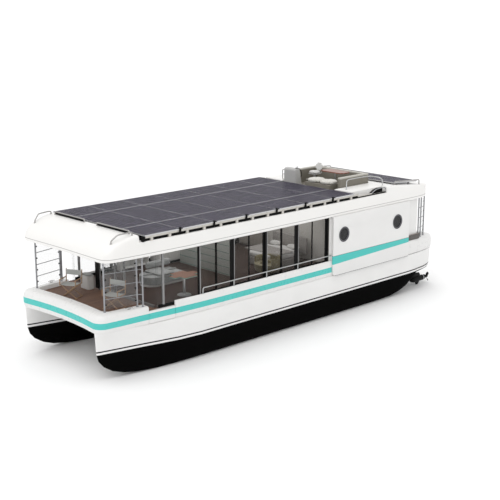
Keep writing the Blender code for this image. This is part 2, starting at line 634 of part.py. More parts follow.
def build_side_frames():
    """Aluminium window frames with their fixed panes; the bays with a sliding leaf are half open."""
    for word, side in SIDES:
        ys = sorted((side * SIDE_FRAME_Y[0], side * SIDE_FRAME_Y[1]))
        base = box_mesh("frame", (-1.70, ys[0], FRAME_Z[0]), (FRAME_BEND_X, ys[1], FRAME_Z[1]))
        holes = [box_mesh("bay%d" % k, (aft, ys[0] - 0.05, HOLE_Z[0]), (front, ys[1] + 0.05, HOLE_Z[1]))
                 for k, (front, aft, slides) in enumerate(BAYS)]
        inner = side * (SIDE_FRAME_Y[0] + 0.008)
        pane = sorted((inner, inner + side * GLASS))
        glass = box_mesh("glass", (-1.66, pane[0], HOLE_Z[0] - 0.010),
                         (FRAME_BEND_X - 0.02, pane[1], HOLE_Z[1] + 0.010))
        stiles = []
        doorways = []
        for k, (front, aft, slides) in enumerate(BAYS):
            stile = (front + aft) / 2 - 0.005
            stiles.append(box_mesh("stile%d" % k, (stile - 0.030, pane[0] - 0.003, HOLE_Z[0] - 0.015),
                                   (stile + 0.025, pane[1] + 0.003, HOLE_Z[1] + 0.015)))
            if slides:
                doorways.append(box_mesh("doorway%d" % k, (aft - 0.002, ys[0] - 0.01, HOLE_Z[0] - 0.0002),
                                         (stile - 0.030, ys[1] + 0.01, HOLE_Z[1] + 0.002)))
        part("side_frame_" + word, "dark_frame", base, openings=holes, joined=[glass] + stiles, cut=doorways)
        bend = Vector((FRAME_BEND_X + 0.0005, side * 2.405))
        front_end = Vector((FRONT_WALL_X[0] - 0.0005, side * 2.30))
        reach = (front_end - bend).length
        bay_holes = [rectangle(0.05, 1.42, *HOLE_Z), rectangle(1.49, reach - 0.05, *HOLE_Z)]
        bay = flat_mesh("bay", [rectangle(0.0, reach, *FRAME_Z)] + bay_holes, -0.03, 0.03, "XZ")
        glass = box_mesh("glass", (0.02, -GLASS / 2, HOLE_Z[0] - 0.01),
                         (reach - 0.02, GLASS / 2, HOLE_Z[1] + 0.01))
        turn = math.atan2(front_end.y - bend.y, front_end.x - bend.x)
        for mesh in (bay, glass):
            for vert in mesh.vertices:
                x, y, z = vert.co
                vert.co = (bend.x + x * math.cos(turn) - y * math.sin(turn),
                           bend.y + x * math.sin(turn) + y * math.cos(turn), z)
        trim = box_mesh("trim", (FRONT_WALL_X[0] - 0.001, -3, 2), (FRONT_WALL_X[1] + 1, 3, 5))
        square = box_mesh("square", (FRAME_BEND_X - 1, -3, 2), (FRAME_BEND_X + 0.0003, 3, 5))
        part("bay_frame_" + word, "aluminium", bay, joined=[glass], cut=[trim, square])


LEAF_Y = (2.405, 2.433)


def build_leaves():
    for word, side in SIDES:
        ys = sorted((side * LEAF_Y[0], side * LEAF_Y[1]))
        number = 0
        for front, aft, slides in BAYS:
            if not slides:
                continue
            number += 1
            x0, x1 = aft + CLEAR, (front + aft) / 2 + 0.015
            z0, z1 = HOLE_Z[0] + RUN, HOLE_Z[1] - CLEAR
            outline = [rectangle(x0, x1, z0, z1), rectangle(x0 + 0.05, x1 - 0.05, z0 + 0.06, z1 - 0.05)]
            base = flat_mesh("leaf", outline, ys[0], ys[1], "XZ")
            middle = (ys[0] + ys[1]) / 2
            glass = box_mesh("glass", (x0 + 0.04, middle - 0.005, z0 + 0.05),
                             (x1 - 0.04, middle + 0.005, z1 - 0.04))
            part("leaf_%s_%d" % (word, number), "dark_frame", base, joined=[glass])


FRONT_WALL_HALF = 2.325
DOOR_Y = (-0.72, -2.20)      # doorway in the front glazing, open down to the floor
AFT_DOOR_HALF = 0.45        # half the width of the aft doorway
AFT_DOOR_TOP = 3.84         # the door swings under the roof's skirt
HINGE_X = AFT_WALL_X[0] - 0.020
HINGE_R = 0.010
HINGE_LONG = 0.06
HINGES_Z = (2.45, 3.55)


def build_cross_walls():
    """Front glazing with its sliding door, the partition of the aft cabin and the aft wall with its door."""
    x0, x1 = FRONT_WALL_X
    low, high = FRAME_Z
    half = FRONT_WALL_HALF
    outline = [(-half, low), (DOOR_Y[1], low), (DOOR_Y[1], HOLE_Z[1]), (DOOR_Y[0], HOLE_Z[1]),
               (DOOR_Y[0], low), (half, low), (half, high), (-half, high)]
    holes = [rectangle(-0.66, 0.16, *HOLE_Z), rectangle(0.21, 2.20, *HOLE_Z)]
    base = flat_mesh("wall", [outline] + holes, x0, x1, "YZ")
    panes = [box_mesh("pane%d" % k, (x1 - 0.014, a, HOLE_Z[0] - 0.01), (x1 - 0.002, b, HOLE_Z[1] + 0.01))
             for k, (a, b) in enumerate(((-0.67, 0.17), (0.20, 2.21)))]
    part("front_wall", "dark_frame", base, joined=panes)
    outline = [rectangle(-0.86, 0.64, FLOOR_Z + RUN, HOLE_Z[1] + 0.05),
               rectangle(-0.79, 0.57, FLOOR_Z + 0.09, HOLE_Z[1] - 0.02)]
    base = flat_mesh("door", outline, x0 - 0.055, x0 - 0.015, "YZ")
    glass = box_mesh("glass", (x0 - 0.040, -0.80, FLOOR_Z + 0.08), (x0 - 0.030, 0.58, HOLE_Z[1] - 0.01))
    part("front_door", "aluminium", base, joined=[glass])

    x0, x1 = MID_WALL_X
    hole = rectangle(-1.60, -0.88, FLOOR_Z + 0.03, 3.98)
    part("mid_wall", "cabinet", flat_mesh("wall", [rectangle(-2.43, 2.43, *FRAME_Z), hole], x0, x1, "YZ"))

    x0, x1 = AFT_WALL_X
    hole = rectangle(-AFT_DOOR_HALF, AFT_DOOR_HALF, FLOOR_Z + 0.03, AFT_DOOR_TOP)
    rests = []
    for k, z in enumerate(HINGES_Z):
        low, high = z - GAP - HINGE_LONG, z - GAP
        rests.append(round_mesh("rest%d" % k, (HINGE_X, AFT_DOOR_HALF, low), (HINGE_X, AFT_DOOR_HALF, high),
                                HINGE_R, sides=ROUND_SIDES))
        rests.append(box_mesh("lug%d" % k, (HINGE_X - 0.004, AFT_DOOR_HALF, low),
                              (x0 + 0.01, AFT_DOOR_HALF + 0.05, high)))
    wall = flat_mesh("wall", [rectangle(-2.36, 2.36, *FRAME_Z), hole], x0, x1, "YZ")
    part("aft_wall", "gelcoat_white", wall, joined=rests)
    outline = [rectangle(-AFT_DOOR_HALF + CLEAR, AFT_DOOR_HALF - CLEAR, FLOOR_Z + 0.03 + CLEAR,
                         AFT_DOOR_TOP - CLEAR), rectangle(-0.30, 0.30, 2.90, 3.68)]
    base = flat_mesh("door", outline, x0 - 0.012, x1 - 0.012, "YZ")
    glass = box_mesh("glass", ((x0 + x1) / 2 - 0.016, -0.31, 2.89), ((x0 + x1) / 2 - 0.006, 0.31, 3.69))
    knuckles = [round_mesh("knuckle%d" % k, (HINGE_X, AFT_DOOR_HALF, z),
                           (HINGE_X, AFT_DOOR_HALF, z + HINGE_LONG), HINGE_R, sides=ROUND_SIDES)
                for k, z in enumerate(HINGES_Z)]
    straps = [box_mesh("strap%d" % k, (HINGE_X - 0.004, AFT_DOOR_HALF - 0.06, z),
                       (x0 - 0.002, AFT_DOOR_HALF, z + HINGE_LONG)) for k, z in enumerate(HINGES_Z)]
    door = part("aft_door", "gelcoat_white", base, joined=[glass] + straps + knuckles)
    on_axis(door, (HINGE_X, AFT_DOOR_HALF, 3.0))


PANEL_X = (-6.29, -1.80)
INNER_WALL_Y = (2.37, 2.43)


def build_side_panels():
    """The bulged side of the aft cabin: an inner wall, and an outer moulding that laps over the deck."""
    x0, x1 = PANEL_X
    corner = 0.16
    outer = [(x0, LIP_Z - GAP), (x0, 1.615)] + arc(x1 - corner, 1.615 + corner, corner, corner, -90, 0, 5) \
        + [(x1, LIP_Z - GAP)]
    for word, side in SIDES:
        def slab(name, outline, a, b):
            a, b = sorted((side * a, side * b))
            return flat_mesh(name, [outline], a, b, "XZ")
        base = slab("inner", rectangle(AFT_WALL_X[1] + GAP, MID_WALL_X[0] - GAP, *FRAME_Z), *INNER_WALL_Y)
        middle = slab("middle", rectangle(x0 + 0.01, x1 - 0.01, COAMING_Z + GAP, LIP_Z - GAP),
                      INNER_WALL_Y[1] - 0.01, HALF_BEAM + 0.02)
        skin = slab("skin", outer, HALF_BEAM + GAP, HALF_BEAM + 0.065)
        part("side_panel_" + word, "gelcoat_white", base, joined=[middle, skin])


HANDRAIL_Y = 2.470
HANDRAIL_Z = 2.40
HANDRAIL_FRONT_X = 4.48
STANCHIONS_X = (3.09, 1.54, -0.03)


def build_handrails():
    x, z = HANDRAIL_FRONT_X, HANDRAIL_Z
    for word, side in SIDES:
        y = side * HANDRAIL_Y
        line = [(x, y, COAMING_Z + GAP), (x, y, z - 0.07), (x - 0.07, y, z), (PANEL_X[1] + GAP, y, z)]
        posts = [round_mesh("stand%d" % k, (at, y, COAMING_Z + GAP), (at, y, z), 0.014, sides=8)
                 for k, at in enumerate(STANCHIONS_X)]
        part("handrail_" + word, "stainless", tube_mesh("rail", line, 0.018), joined=posts)


SOLE_Z = (LEDGE_Z + GAP, LEDGE_Z + 0.03)       # moulded sole of the flybridge
FLY_Z = SOLE_Z[1] + GAP
FLY_TOP_Z = 4.95            # top of the flybridge coaming
FLY_WALL = 0.15
FLY_WALL_FRONT = (-3.62, -3.45)  # front ends of the starboard and the port wall
FLY_SEAT_Z = 4.66
BENCH_X = (-3.80, -3.15)
BENCH_Y = (-0.15, 1.10)
BENCH_CUSHION_Z = 4.80
FLY_TABLE_X = (-4.60, -4.06)
FLY_TABLE_Y = (-0.20, 0.95)
FLY_TABLE_Z = 5.00
BOARD_THICK = 0.04
CONSOLE_X = (-3.48, -3.10)
CONSOLE_Y = (-1.25, -0.60)
CONSOLE_TOP_Z = 5.10
FACE_TILT = math.radians(12)     # the console's aft face leans forward


def build_flybridge():
    """Moulded liner with its bench base and coaming in one, and the furniture on it."""
    (x0, x1), (y0, y1) = FLY_X, FLY_Y
    sole = box_mesh("sole", (x0, y0, SOLE_Z[0]), (x1, y1, SOLE_Z[1]))
    inner = [(x0 + FLY_WALL, y0 + FLY_WALL), (x0 + FLY_WALL, y1 - FLY_WALL)]
    starboard_end = [(FLY_WALL_FRONT[0], y0), (FLY_WALL_FRONT[0], y0 + FLY_WALL)]
    port_end = [(FLY_WALL_FRONT[1], y1 - FLY_WALL), (FLY_WALL_FRONT[1], y1)]
    around = [(x0, y0)] + starboard_end + inner + port_end + [(x0, y1)]
    wall = flat_mesh("wall", [around], SOLE_Z[0], FLY_TOP_Z, "XY")
    (x0, x1), (y0, y1) = BENCH_X, BENCH_Y
    bench = box_mesh("bench", (x0, y0, SOLE_Z[0]), (x1, y1, FLY_SEAT_Z))
    part("fly_coaming", "seat_shell", sole, joined=[wall, bench])
    cushion = box_mesh("cushion", (x0, y0, FLY_SEAT_Z + GAP), (x1, y1, BENCH_CUSHION_Z))
    part("fly_cushion", "cushion", cushion)
    (x0, x1), (y0, y1) = FLY_TABLE_X, FLY_TABLE_Y
    x, y = (x0 + x1) / 2, (y0 + y1) / 2
    leg = round_mesh("leg", (x, y, FLY_Z), (x, y, FLY_TABLE_Z - BOARD_THICK / 2), 0.04, sides=12)
    board = box_mesh("board", (x0, y0, FLY_TABLE_Z - BOARD_THICK), (x1, y1, FLY_TABLE_Z))
    part("fly_table", "table_wood", board, joined=[leg])


WHEEL_Y = -0.86
WHEEL_Z = 4.86
WHEEL_R = 0.20
WHEEL_OUT = 0.12            # the rim stands this far off the console
HELM_SEAT = (-4.32, -0.72)
HELM_SQUAB_Z = (4.76, 4.88)
HELM_BACK_Z = 5.22
LOOP_R = 0.015              # grab loop on the console's starboard side
LOOP_Z = (4.60, 4.98)


def build_helm():
    """Console with its grab loop, the wheel on the console's aft face, and the pedestal seat."""
    back = CONSOLE_X[0] + (CONSOLE_TOP_Z - FLY_Z) * math.tan(FACE_TILT)
    outline = [(CONSOLE_X[0], FLY_Z), (CONSOLE_X[1], FLY_Z), (CONSOLE_X[1], CONSOLE_TOP_Z - 0.05),
               (CONSOLE_X[1] - 0.05, CONSOLE_TOP_Z), (back, CONSOLE_TOP_Z)]
    x, y = CONSOLE_X[1] - 0.10, CONSOLE_Y[0]
    z0, z1 = LOOP_Z
    loop = tube_mesh("loop", [(x, y + 0.03, z0), (x, y - 0.13, z0), (x, y - 0.17, z0 + 0.04),
                              (x, y - 0.17, z1 - 0.04), (x, y - 0.13, z1), (x, y + 0.03, z1)], LOOP_R)
    part("helm_console", "cabinet", flat_mesh("console", [outline], *CONSOLE_Y, "XZ"), joined=[loop])

    axis = Vector((-math.cos(FACE_TILT), 0, math.sin(FACE_TILT)))
    foot = Vector((CONSOLE_X[0] + (WHEEL_Z - FLY_Z) * math.tan(FACE_TILT), WHEEL_Y, WHEEL_Z))
    centre = foot + axis * WHEEL_OUT
    turn = Vector((0, 0, 1)).rotation_difference(axis)

    def rim_point(angle):
        return centre + turn @ Vector((WHEEL_R * math.cos(angle), WHEEL_R * math.sin(angle), 0))

    rim = tube_mesh("rim", [rim_point(math.radians(t)) for t in range(0, 360, 15)], 0.014, closed=True,
                    resolution=1)
    spokes = [round_mesh("spoke%d" % k, centre, rim_point(math.radians(t)), 0.009, sides=8)
              for k, t in enumerate((30, 150, 270))]
    hub = round_mesh("hub", foot + axis * GAP, centre + axis * 0.015, 0.035, sides=ROUND_SIDES)
    made = part("steering_wheel", "dark_frame", rim, joined=[hub] + spokes)
    on_axis(made, centre)

    x, y = HELM_SEAT
    z0, z1 = HELM_SQUAB_Z
    pedestal = round_mesh("pedestal", (x, y, FLY_Z), (x, y, z0 + 0.02), 0.06, sides=16)
    squab = box_mesh("squab", (x - 0.22, y - 0.22, z0), (x + 0.22, y + 0.22, z1))
    outline = [(x - 0.24, z0 + 0.04), (x - 0.18, z0 + 0.04), (x - 0.26, HELM_BACK_Z), (x - 0.31, HELM_BACK_Z)]
    rest = flat_mesh("rest", [outline], y - 0.20, y + 0.20, "XZ")
    part("helm_seat", "cushion", squab, joined=[pedestal, rest])


RAIL_START = (-3.36, 1.80)  # feet of the rail on the port side deck
RAIL_END = (-5.06, 2.16)
FLY_RAIL_Z = 4.88


def build_fly_rail():
    top = FLY_RAIL_Z
    foot = ROOF_Z + GAP
    loop = [(*RAIL_START, foot), (*RAIL_START, 4.68), (-3.58, 1.62, top - 0.03), (-3.74, 1.57, top),
            (-4.82, 1.57, top), (-4.94, 1.66, top), (-4.98, 2.06, top), (*RAIL_END, top - 0.08),
            (*RAIL_END, foot)]
    part("fly_rail", "stainless", tube_mesh("rail", loop, TUBE_R))


POD_AXIS_Z = 0.25
POD_NOSE_X = -7.34
POD_TAIL_X = -8.29
POD_R = 0.15
STRUT_HALF = 0.055
FIN_HALF = 0.020
PROP_X = -8.39              # middle of the propeller's blades
BLADE_R = 0.21
BLADE_PITCH = math.radians(35)


def turned_point(u, v, angle):
    """A pair turned about the origin."""
    return u * math.cos(angle) - v * math.sin(angle), u * math.sin(angle) + v * math.cos(angle)


def build_pods():
    """Electric drive pods that steer on their stocks, and their propellers."""
    for word, side in SIDES:
        y = side * HULL_Y
        top = BOSS_Z[0] - GAP
        outline = [(-7.43, 0.30), (-7.41, 0.46), (-7.48, top), (-7.88, top), (-7.97, 0.58), (-7.95, 0.30)]
        strut = flat_mesh("strut", [outline], y - STRUT_HALF, y + STRUT_HALF, "XZ")
        stock = round_mesh("stock", (POD_X, y, 0.50), (POD_X, y, STOCK_TOP_Z), STOCK_R, sides=ROUND_SIDES)
        body = turned_mesh("body", ((0.0, 0.0), (0.02, 0.055), (0.08, 0.105), (0.20, POD_R), (0.74, POD_R),
                                    (POD_NOSE_X - POD_TAIL_X, 0.070), (POD_NOSE_X - POD_TAIL_X, 0.0)),
                           (POD_NOSE_X, y, POD_AXIS_Z), (-1, 0, 0))
        fin = flat_mesh("fin", [[(-7.50, 0.20), (-8.00, 0.20), (-7.92, 0.02), (-7.64, 0.015)]],
                        y - FIN_HALF, y + FIN_HALF, "XZ")
        made = part("pod_" + word, "pod_black", body, joined=[strut, stock, fin])
        on_axis(made, (POD_X, y, POD_AXIS_Z))
        long = POD_TAIL_X - GAP - PROP_AFT_X
        profile = ((0.0, 0.0), (0.0, 0.066), (long - 0.09, 0.062), (long - 0.02, 0.034), (long, 0.0))
        hub = turned_mesh("hub", profile, (POD_TAIL_X - GAP, y, POD_AXIS_Z), (-1, 0, 0))
        blades = []
        for k in range(3):
            blade = box_mesh("blade%d" % k, (-0.008, -0.055, 0.02), (0.008, 0.055, BLADE_R))
            for vert in blade.vertices:
                u, v, w = vert.co
                u, v = turned_point(u, v, BLADE_PITCH)
                v, w = turned_point(v, w, math.radians(90 + 120 * k))
                vert.co = (PROP_X + u, y + v, POD_AXIS_Z + w)
            blades.append(blade)
        made = part("propeller_" + word, "pod_black", hub, joined=blades)
        on_axis(made, (PROP_X, y, POD_AXIS_Z))


# Furniture on the floors: the lounge bench has a round front end and a low back to starboard
LOUNGE_X = (3.50, 4.62)
LOUNGE_Y = (-0.48, 0.48)
LOUNGE_Z = 2.50
LOUNGE_BACK = (0.18, 2.76)  # thickness and top of the back
SALOON_TABLE_X = (4.15, 5.20)
SALOON_TABLE_Y = (1.36, 2.14)
SALOON_TABLE_Z = 2.76
# Plain blocks. Columns: name, finish, low corner x and y, high corner x and y, top
BLOCKS = (
    ("galley_unit", "cabinet", (0.20, -2.30), (2.90, -1.70), 2.96),
    ("bed", "cushion", (-1.50, -0.20), (0.30, 1.60), 2.55),
    ("deck_locker", "cabinet", (6.40, -1.37), (6.66, -0.90), 2.56),
)


def build_interior():
    base_z = FLOOR_Z + GAP
    (x0, x1), (y0, y1) = LOUNGE_X, LOUNGE_Y
    end_r = (y1 - y0) / 2
    outline = arc(x1, (y0 + y1) / 2, end_r, end_r, -90, 90, 8) + [(x0, y1), (x0, y0)]
    thick, back_z = LOUNGE_BACK
    low = (x0 + 0.012, y0 + 0.012, LOUNGE_Z - 0.15)
    back = box_mesh("back", low, (x1 - 0.012, y0 + thick, back_z))
    part("lounge_bench", "seat_shell", flat_mesh("lounge", [outline], base_z, LOUNGE_Z, "XY"), joined=[back])
    (x0, x1), (y0, y1) = SALOON_TABLE_X, SALOON_TABLE_Y
    x, y = (x0 + x1) / 2, (y0 + y1) / 2
    leg = round_mesh("leg", (x, y, base_z), (x, y, SALOON_TABLE_Z - BOARD_THICK / 2), 0.05, sides=12)
    board = box_mesh("board", (x0, y0, SALOON_TABLE_Z - BOARD_THICK), (x1, y1, SALOON_TABLE_Z))
    part("saloon_table", "table_wood", board, joined=[leg])
    for name, colour, low, high, top in BLOCKS:
        part(name, colour, box_mesh(name, (*low, base_z), (*high, top)))


# Folding deck chair: seat height, half width between its side frames, half depth, and bar thickness
CHAIR_SEAT_Z = 0.43
CHAIR_HALF = 0.27
CHAIR_DEPTH = 0.24
CHAIR_BAR = 0.028


def deck_chair(name, x, y, turn):
    """A folding canvas chair as one solid: side frames, crossed legs, canvas seat and back."""
    seat = CHAIR_SEAT_Z
    half = CHAIR_HALF
    bar = CHAIR_BAR
    side_outline = [(-CHAIR_DEPTH, seat), (CHAIR_DEPTH, seat), (CHAIR_DEPTH, 0.64), (-0.20, 0.64),
                    (-0.25, 0.90), (-0.28, 0.90), (-0.24, 0.62)]
    side_hole = [(-0.205, seat + bar), (CHAIR_DEPTH - bar, seat + bar), (CHAIR_DEPTH - bar, 0.64 - bar),
                 (-0.205, 0.64 - bar)]
    pieces = []
    for k, s in enumerate((-1, 1)):
        y0, y1 = sorted((s * half, s * (half + bar)))
        pieces.append(flat_mesh("side%d" % k, [side_outline, side_hole], y0, y1, "XZ"))
        pieces.append(box_mesh("sole%d" % k, (-0.26, y0 + 0.002, 0.0), (0.26, y1 - 0.002, bar)))
    for k, x_leg in enumerate((-0.19, 0.19)):
        for n, s in enumerate((-1, 1)):
            slope = [(-s * (half + 0.02), 0.008), (-s * (half - 0.02), 0.008),
                     (s * (half + 0.02), seat + 0.02), (s * (half - 0.02), seat + 0.02)]
            thick = 0.011 + 0.002 * n
            pieces.append(flat_mesh("leg%d_%d" % (k, n), [slope], x_leg - thick, x_leg + thick, "YZ"))
    pieces.append(box_mesh("back", (-0.271, -half - 0.01, 0.70), (-0.236, half + 0.01, 0.87)))
    canvas = box_mesh("canvas", (-0.22, -half - 0.012, seat + 0.008), (0.22, half + 0.012, seat + 0.020))
    for mesh in [canvas] + pieces:
        for vert in mesh.vertices:
            u, v, w = vert.co
            vert.co = (x + u * math.cos(turn) - v * math.sin(turn),
                       y + u * math.sin(turn) + v * math.cos(turn), w + FLOOR_Z + GAP)
    part(name, "canvas", canvas, joined=pieces)


def build_chairs():
    deck_chair("deck_chair_starboard", 7.54, -0.62, math.radians(28))
    deck_chair("deck_chair_port", 7.28, 1.38, math.radians(20))


build_hulls()
build_deck()
build_gates()
build_floors()
build_roof()
build_array()
build_grab_rails()
build_posts()
build_side_frames()
build_leaves()
build_cross_walls()
build_side_panels()
build_handrails()
build_flybridge()
build_helm()
build_fly_rail()
build_pods()
build_interior()
build_chairs()
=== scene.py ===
import math

import bmesh
import bpy
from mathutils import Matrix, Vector


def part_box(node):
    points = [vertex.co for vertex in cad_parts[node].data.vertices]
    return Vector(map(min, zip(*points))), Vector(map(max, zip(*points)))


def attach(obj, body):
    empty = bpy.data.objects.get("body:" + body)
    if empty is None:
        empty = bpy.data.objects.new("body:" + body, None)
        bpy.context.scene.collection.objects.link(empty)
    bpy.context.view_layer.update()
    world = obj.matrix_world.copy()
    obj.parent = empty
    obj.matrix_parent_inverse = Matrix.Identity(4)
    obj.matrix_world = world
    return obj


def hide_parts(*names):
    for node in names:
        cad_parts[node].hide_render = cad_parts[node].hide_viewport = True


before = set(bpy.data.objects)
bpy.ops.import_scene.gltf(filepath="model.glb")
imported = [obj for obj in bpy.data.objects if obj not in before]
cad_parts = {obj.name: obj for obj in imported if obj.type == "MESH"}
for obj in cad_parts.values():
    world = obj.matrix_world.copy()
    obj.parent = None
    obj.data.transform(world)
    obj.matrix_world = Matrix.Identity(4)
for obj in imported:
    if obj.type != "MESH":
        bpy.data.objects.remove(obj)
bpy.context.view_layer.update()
both_sides = (("port", 1), ("starboard", -1))

# Camera, floor and light
# The camera stands high off the port bow with a long lens, as the photograph's did. The boat
# stands on its keels on a plain pale floor, under soft light that comes mostly from port.
camera_place = Vector((26.229, 27.333, 11.836))
camera_aim = Vector((-0.67267, -0.69998, -0.23989))
camera_data = bpy.data.cameras.new("camera")
camera_data.lens = 75.24
camera_data.sensor_width = 36.0
camera_data.clip_end = 6000.0
camera = bpy.data.objects.new("camera", camera_data)
camera.location = camera_place
camera.rotation_euler = camera_aim.to_track_quat("-Z", "Y").to_euler()
bpy.context.scene.collection.objects.link(camera)
bpy.context.scene.camera = camera

world = bpy.data.worlds.new("studio")
bpy.context.scene.world = world
world.use_nodes = True
world.node_tree.nodes["Background"].inputs["Color"].default_value = (1.0, 1.0, 1.0, 1.0)
world.node_tree.nodes["Background"].inputs["Strength"].default_value = 0.85
bpy.context.scene.view_settings.view_transform = "Standard"


def sun(name, direction, strength, spread):
    """A soft far light that shines along a direction."""
    data = bpy.data.lights.new(name, "SUN")
    data.energy = strength
    data.angle = math.radians(spread)
    lamp = bpy.data.objects.new(name, data)
    lamp.rotation_euler = Vector(direction).to_track_quat("-Z", "Y").to_euler()
    bpy.context.scene.collection.objects.link(lamp)


sun("key_light", (-0.55, -0.30, -0.78), 0.45, 40.0)
sun("top_light", (-0.10, 0.10, -1.0), 0.8, 60.0)


def cabin_light(name, x, long, power):
    """A soft light under the ceiling that isn't seen itself."""
    data = bpy.data.lights.new(name, "AREA")
    data.shape = "RECTANGLE"
    data.size = long
    data.size_y = 4.0
    data.energy = power
    lamp = bpy.data.objects.new(name, data)
    lamp.location = (x, 0.0, 4.08)
    lamp.visible_camera = False
    lamp.visible_glossy = False
    bpy.context.scene.collection.objects.link(lamp)


cabin_light("saloon_light", 2.2, 7.6, 115.0)
cabin_light("aft_cabin_light", -4.3, 4.6, 45.0)

floor_reach = 2500.0
floor_mesh = bpy.data.meshes.new("studio_floor")
floor_mesh.from_pydata([(x * floor_reach, y * floor_reach, 0) for x, y in ((-1, -1), (1, -1), (1, 1),
                                                                           (-1, 1))], [],
                       [(0, 1, 2, 3)])
studio_floor = bpy.data.objects.new("studio_floor", floor_mesh)
bpy.context.scene.collection.objects.link(studio_floor)
floor_finish = bpy.data.materials.new("studio_floor")
floor_finish.use_nodes = True
floor_finish.node_tree.nodes["Principled BSDF"].inputs["Base Color"].default_value = (0.93, 0.93, 0.93, 1.0)
floor_finish.node_tree.nodes["Principled BSDF"].inputs["Roughness"].default_value = 0.9
floor_mesh.materials.append(floor_finish)


# Hulls
# Two glass-fibre mouldings, gelcoated white above the water and antifouled black below, with a
# white gap and a thin black boot line that climb a little towards the stems.
def new_finish(name, colour=None, roughness=0.5, metallic=0.0, **sockets):
    """A Principled material: colour, roughness and metallic, and further sockets by name."""
    made = bpy.data.materials.new(name)
    made.use_nodes = True
    shader = made.node_tree.nodes["Principled BSDF"]
    if colour:
        shader.inputs["Base Color"].default_value = (*colour, 1.0)
        made.diffuse_color = (*colour, 1.0)
    shader.inputs["Roughness"].default_value = roughness
    shader.inputs["Metallic"].default_value = metallic
    for socket, value in sockets.items():
        shader.inputs[socket.replace("_", " ")].default_value = value
    return made


def add_node(finish, kind, feeds=None, **settings):
    """A node in a finish's tree; feeds gives its inputs by name or number, as values or as links."""
    made = finish.node_tree.nodes.new(kind)
    for setting, value in settings.items():
        setattr(made, setting, value)
    for key, value in (feeds or {}).items():
        if isinstance(value, bpy.types.NodeSocket):
            finish.node_tree.links.new(value, made.inputs[key])
        else:
            made.inputs[key].default_value = value
    return made


def drive(finish, socket, value):
    """Link a node's output to a socket of the finish's shader."""
    finish.node_tree.links.new(value, finish.node_tree.nodes["Principled BSDF"].inputs[socket])


def calc(finish, operation, first, second=0.0, third=0.0):
    """One step of arithmetic on values or outputs."""
    return add_node(finish, "ShaderNodeMath", {0: first, 1: second, 2: third},
                    operation=operation).outputs[0]


def mix_colour(finish, share, first, second):
    """A colour between two, by a share."""
    first = (*first, 1.0) if isinstance(first, tuple) else first
    second = (*second, 1.0) if isinstance(second, tuple) else second
    return add_node(finish, "ShaderNodeMix", {0: share, 6: first, 7: second}, data_type="RGBA").outputs[2]


def place_of(finish):
    """The place on the boat, and its three parts."""
    spot = add_node(finish, "ShaderNodeTexCoord").outputs["Object"]
    return spot, *list(add_node(finish, "ShaderNodeSeparateXYZ", {0: spot}).outputs)


def between(finish, value, low, high):
    """1 where a value lies between two limits, else 0."""
    above = calc(finish, "GREATER_THAN", value, low)
    return calc(finish, "MULTIPLY", above, calc(finish, "LESS_THAN", value, high))


def mottle(finish, spot, scale, detail=3.0):
    """Soft random variation from 0 to 1."""
    return add_node(finish, "ShaderNodeTexNoise",
                    {"Vector": spot, "Scale": scale, "Detail": detail}).outputs["Fac"]


def grain(finish, height, strength, distance):
    """A bump on the finish from a height pattern."""
    bump = add_node(finish, "ShaderNodeBump", {"Height": height, "Strength": strength, "Distance": distance})
    drive(finish, "Normal", bump.outputs["Normal"])


def gloss_variation(finish, pattern, low, high):
    """Roughness that varies between two values with a pattern."""
    drive(finish, "Roughness", add_node(finish, "ShaderNodeMapRange", {"Value": pattern, "To Min": low,
                                                                       "To Max": high}).outputs[0])


def painted(name, colours, drift, marks=(), gloss=None, bump=None, roughness=0.5, **sockets):
    """A finish whose colour drifts between two, at the scale drift, with marks of other colours over
    it. Gloss is a scale and two roughness values, and bump ends in a strength and a distance."""
    finish = new_finish(name, roughness=roughness, **sockets)
    spot, *place = place_of(finish)
    colour = mix_colour(finish, mottle(finish, spot, drift), *colours)
    for share_of, mark in marks:
        colour = mix_colour(finish, share_of(finish, *place), colour, mark)
    drive(finish, "Base Color", colour)
    if gloss:
        gloss_variation(finish, mottle(finish, spot, gloss[0]), *gloss[1:])
    if bump:
        grain(finish, mottle(finish, spot, *bump[:-2]), *bump[-2:])
    return finish


gelcoat_white = (0.80, 0.795, 0.785)
gelcoat_shade = (0.76, 0.755, 0.745)
hull_white = (0.86, 0.855, 0.845)
antifouling = (0.0015, 0.0015, 0.0015)
black_top_z = 0.84
boot_low_z = black_top_z + 0.07
boot_line = 0.045
boot_rise = 0.06
boot_rise_x = (4.6, 8.5)


def hull_level(finish, x, z):
    """The height, less what the lines climb towards the stems."""
    climb = add_node(finish, "ShaderNodeMapRange", {"Value": x, "From Min": boot_rise_x[0],
                                                    "From Max": boot_rise_x[1], "To Max": boot_rise})
    return calc(finish, "SUBTRACT", z, climb.outputs[0])


def hull_dark(finish, x, y, z):
    """1 on the antifouling and on the boot line."""
    level = hull_level(finish, x, z)
    return calc(finish, "MAXIMUM", calc(finish, "LESS_THAN", level, black_top_z),
                between(finish, level, boot_low_z, boot_low_z + boot_line))


hull_gelcoat = painted("hull_gelcoat", (hull_white, gelcoat_white), 1.3, [(hull_dark, antifouling)],
                       bump=(60.0, 0.05, 0.002), roughness=0.3, Specular_IOR_Level=0.04)
x, z = place_of(hull_gelcoat)[1::2]
below = calc(hull_gelcoat, "LESS_THAN", hull_level(hull_gelcoat, x, z), black_top_z)
drive(hull_gelcoat, "Roughness", calc(hull_gelcoat, "MULTIPLY_ADD", below, 0.60, 0.28))

weld_reach = 0.00005
flat_angle = math.radians(0.6)


def welded(node):
    """A copy of a CAD node's mesh, and a bmesh of it with its double points and flat edges gone."""
    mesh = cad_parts[node].data.copy()
    shape = bmesh.new()
    shape.from_mesh(mesh)
    bmesh.ops.remove_doubles(shape, verts=shape.verts, dist=weld_reach)
    bmesh.ops.dissolve_limit(shape, angle_limit=flat_angle, verts=shape.verts, edges=shape.edges)
    return mesh, shape


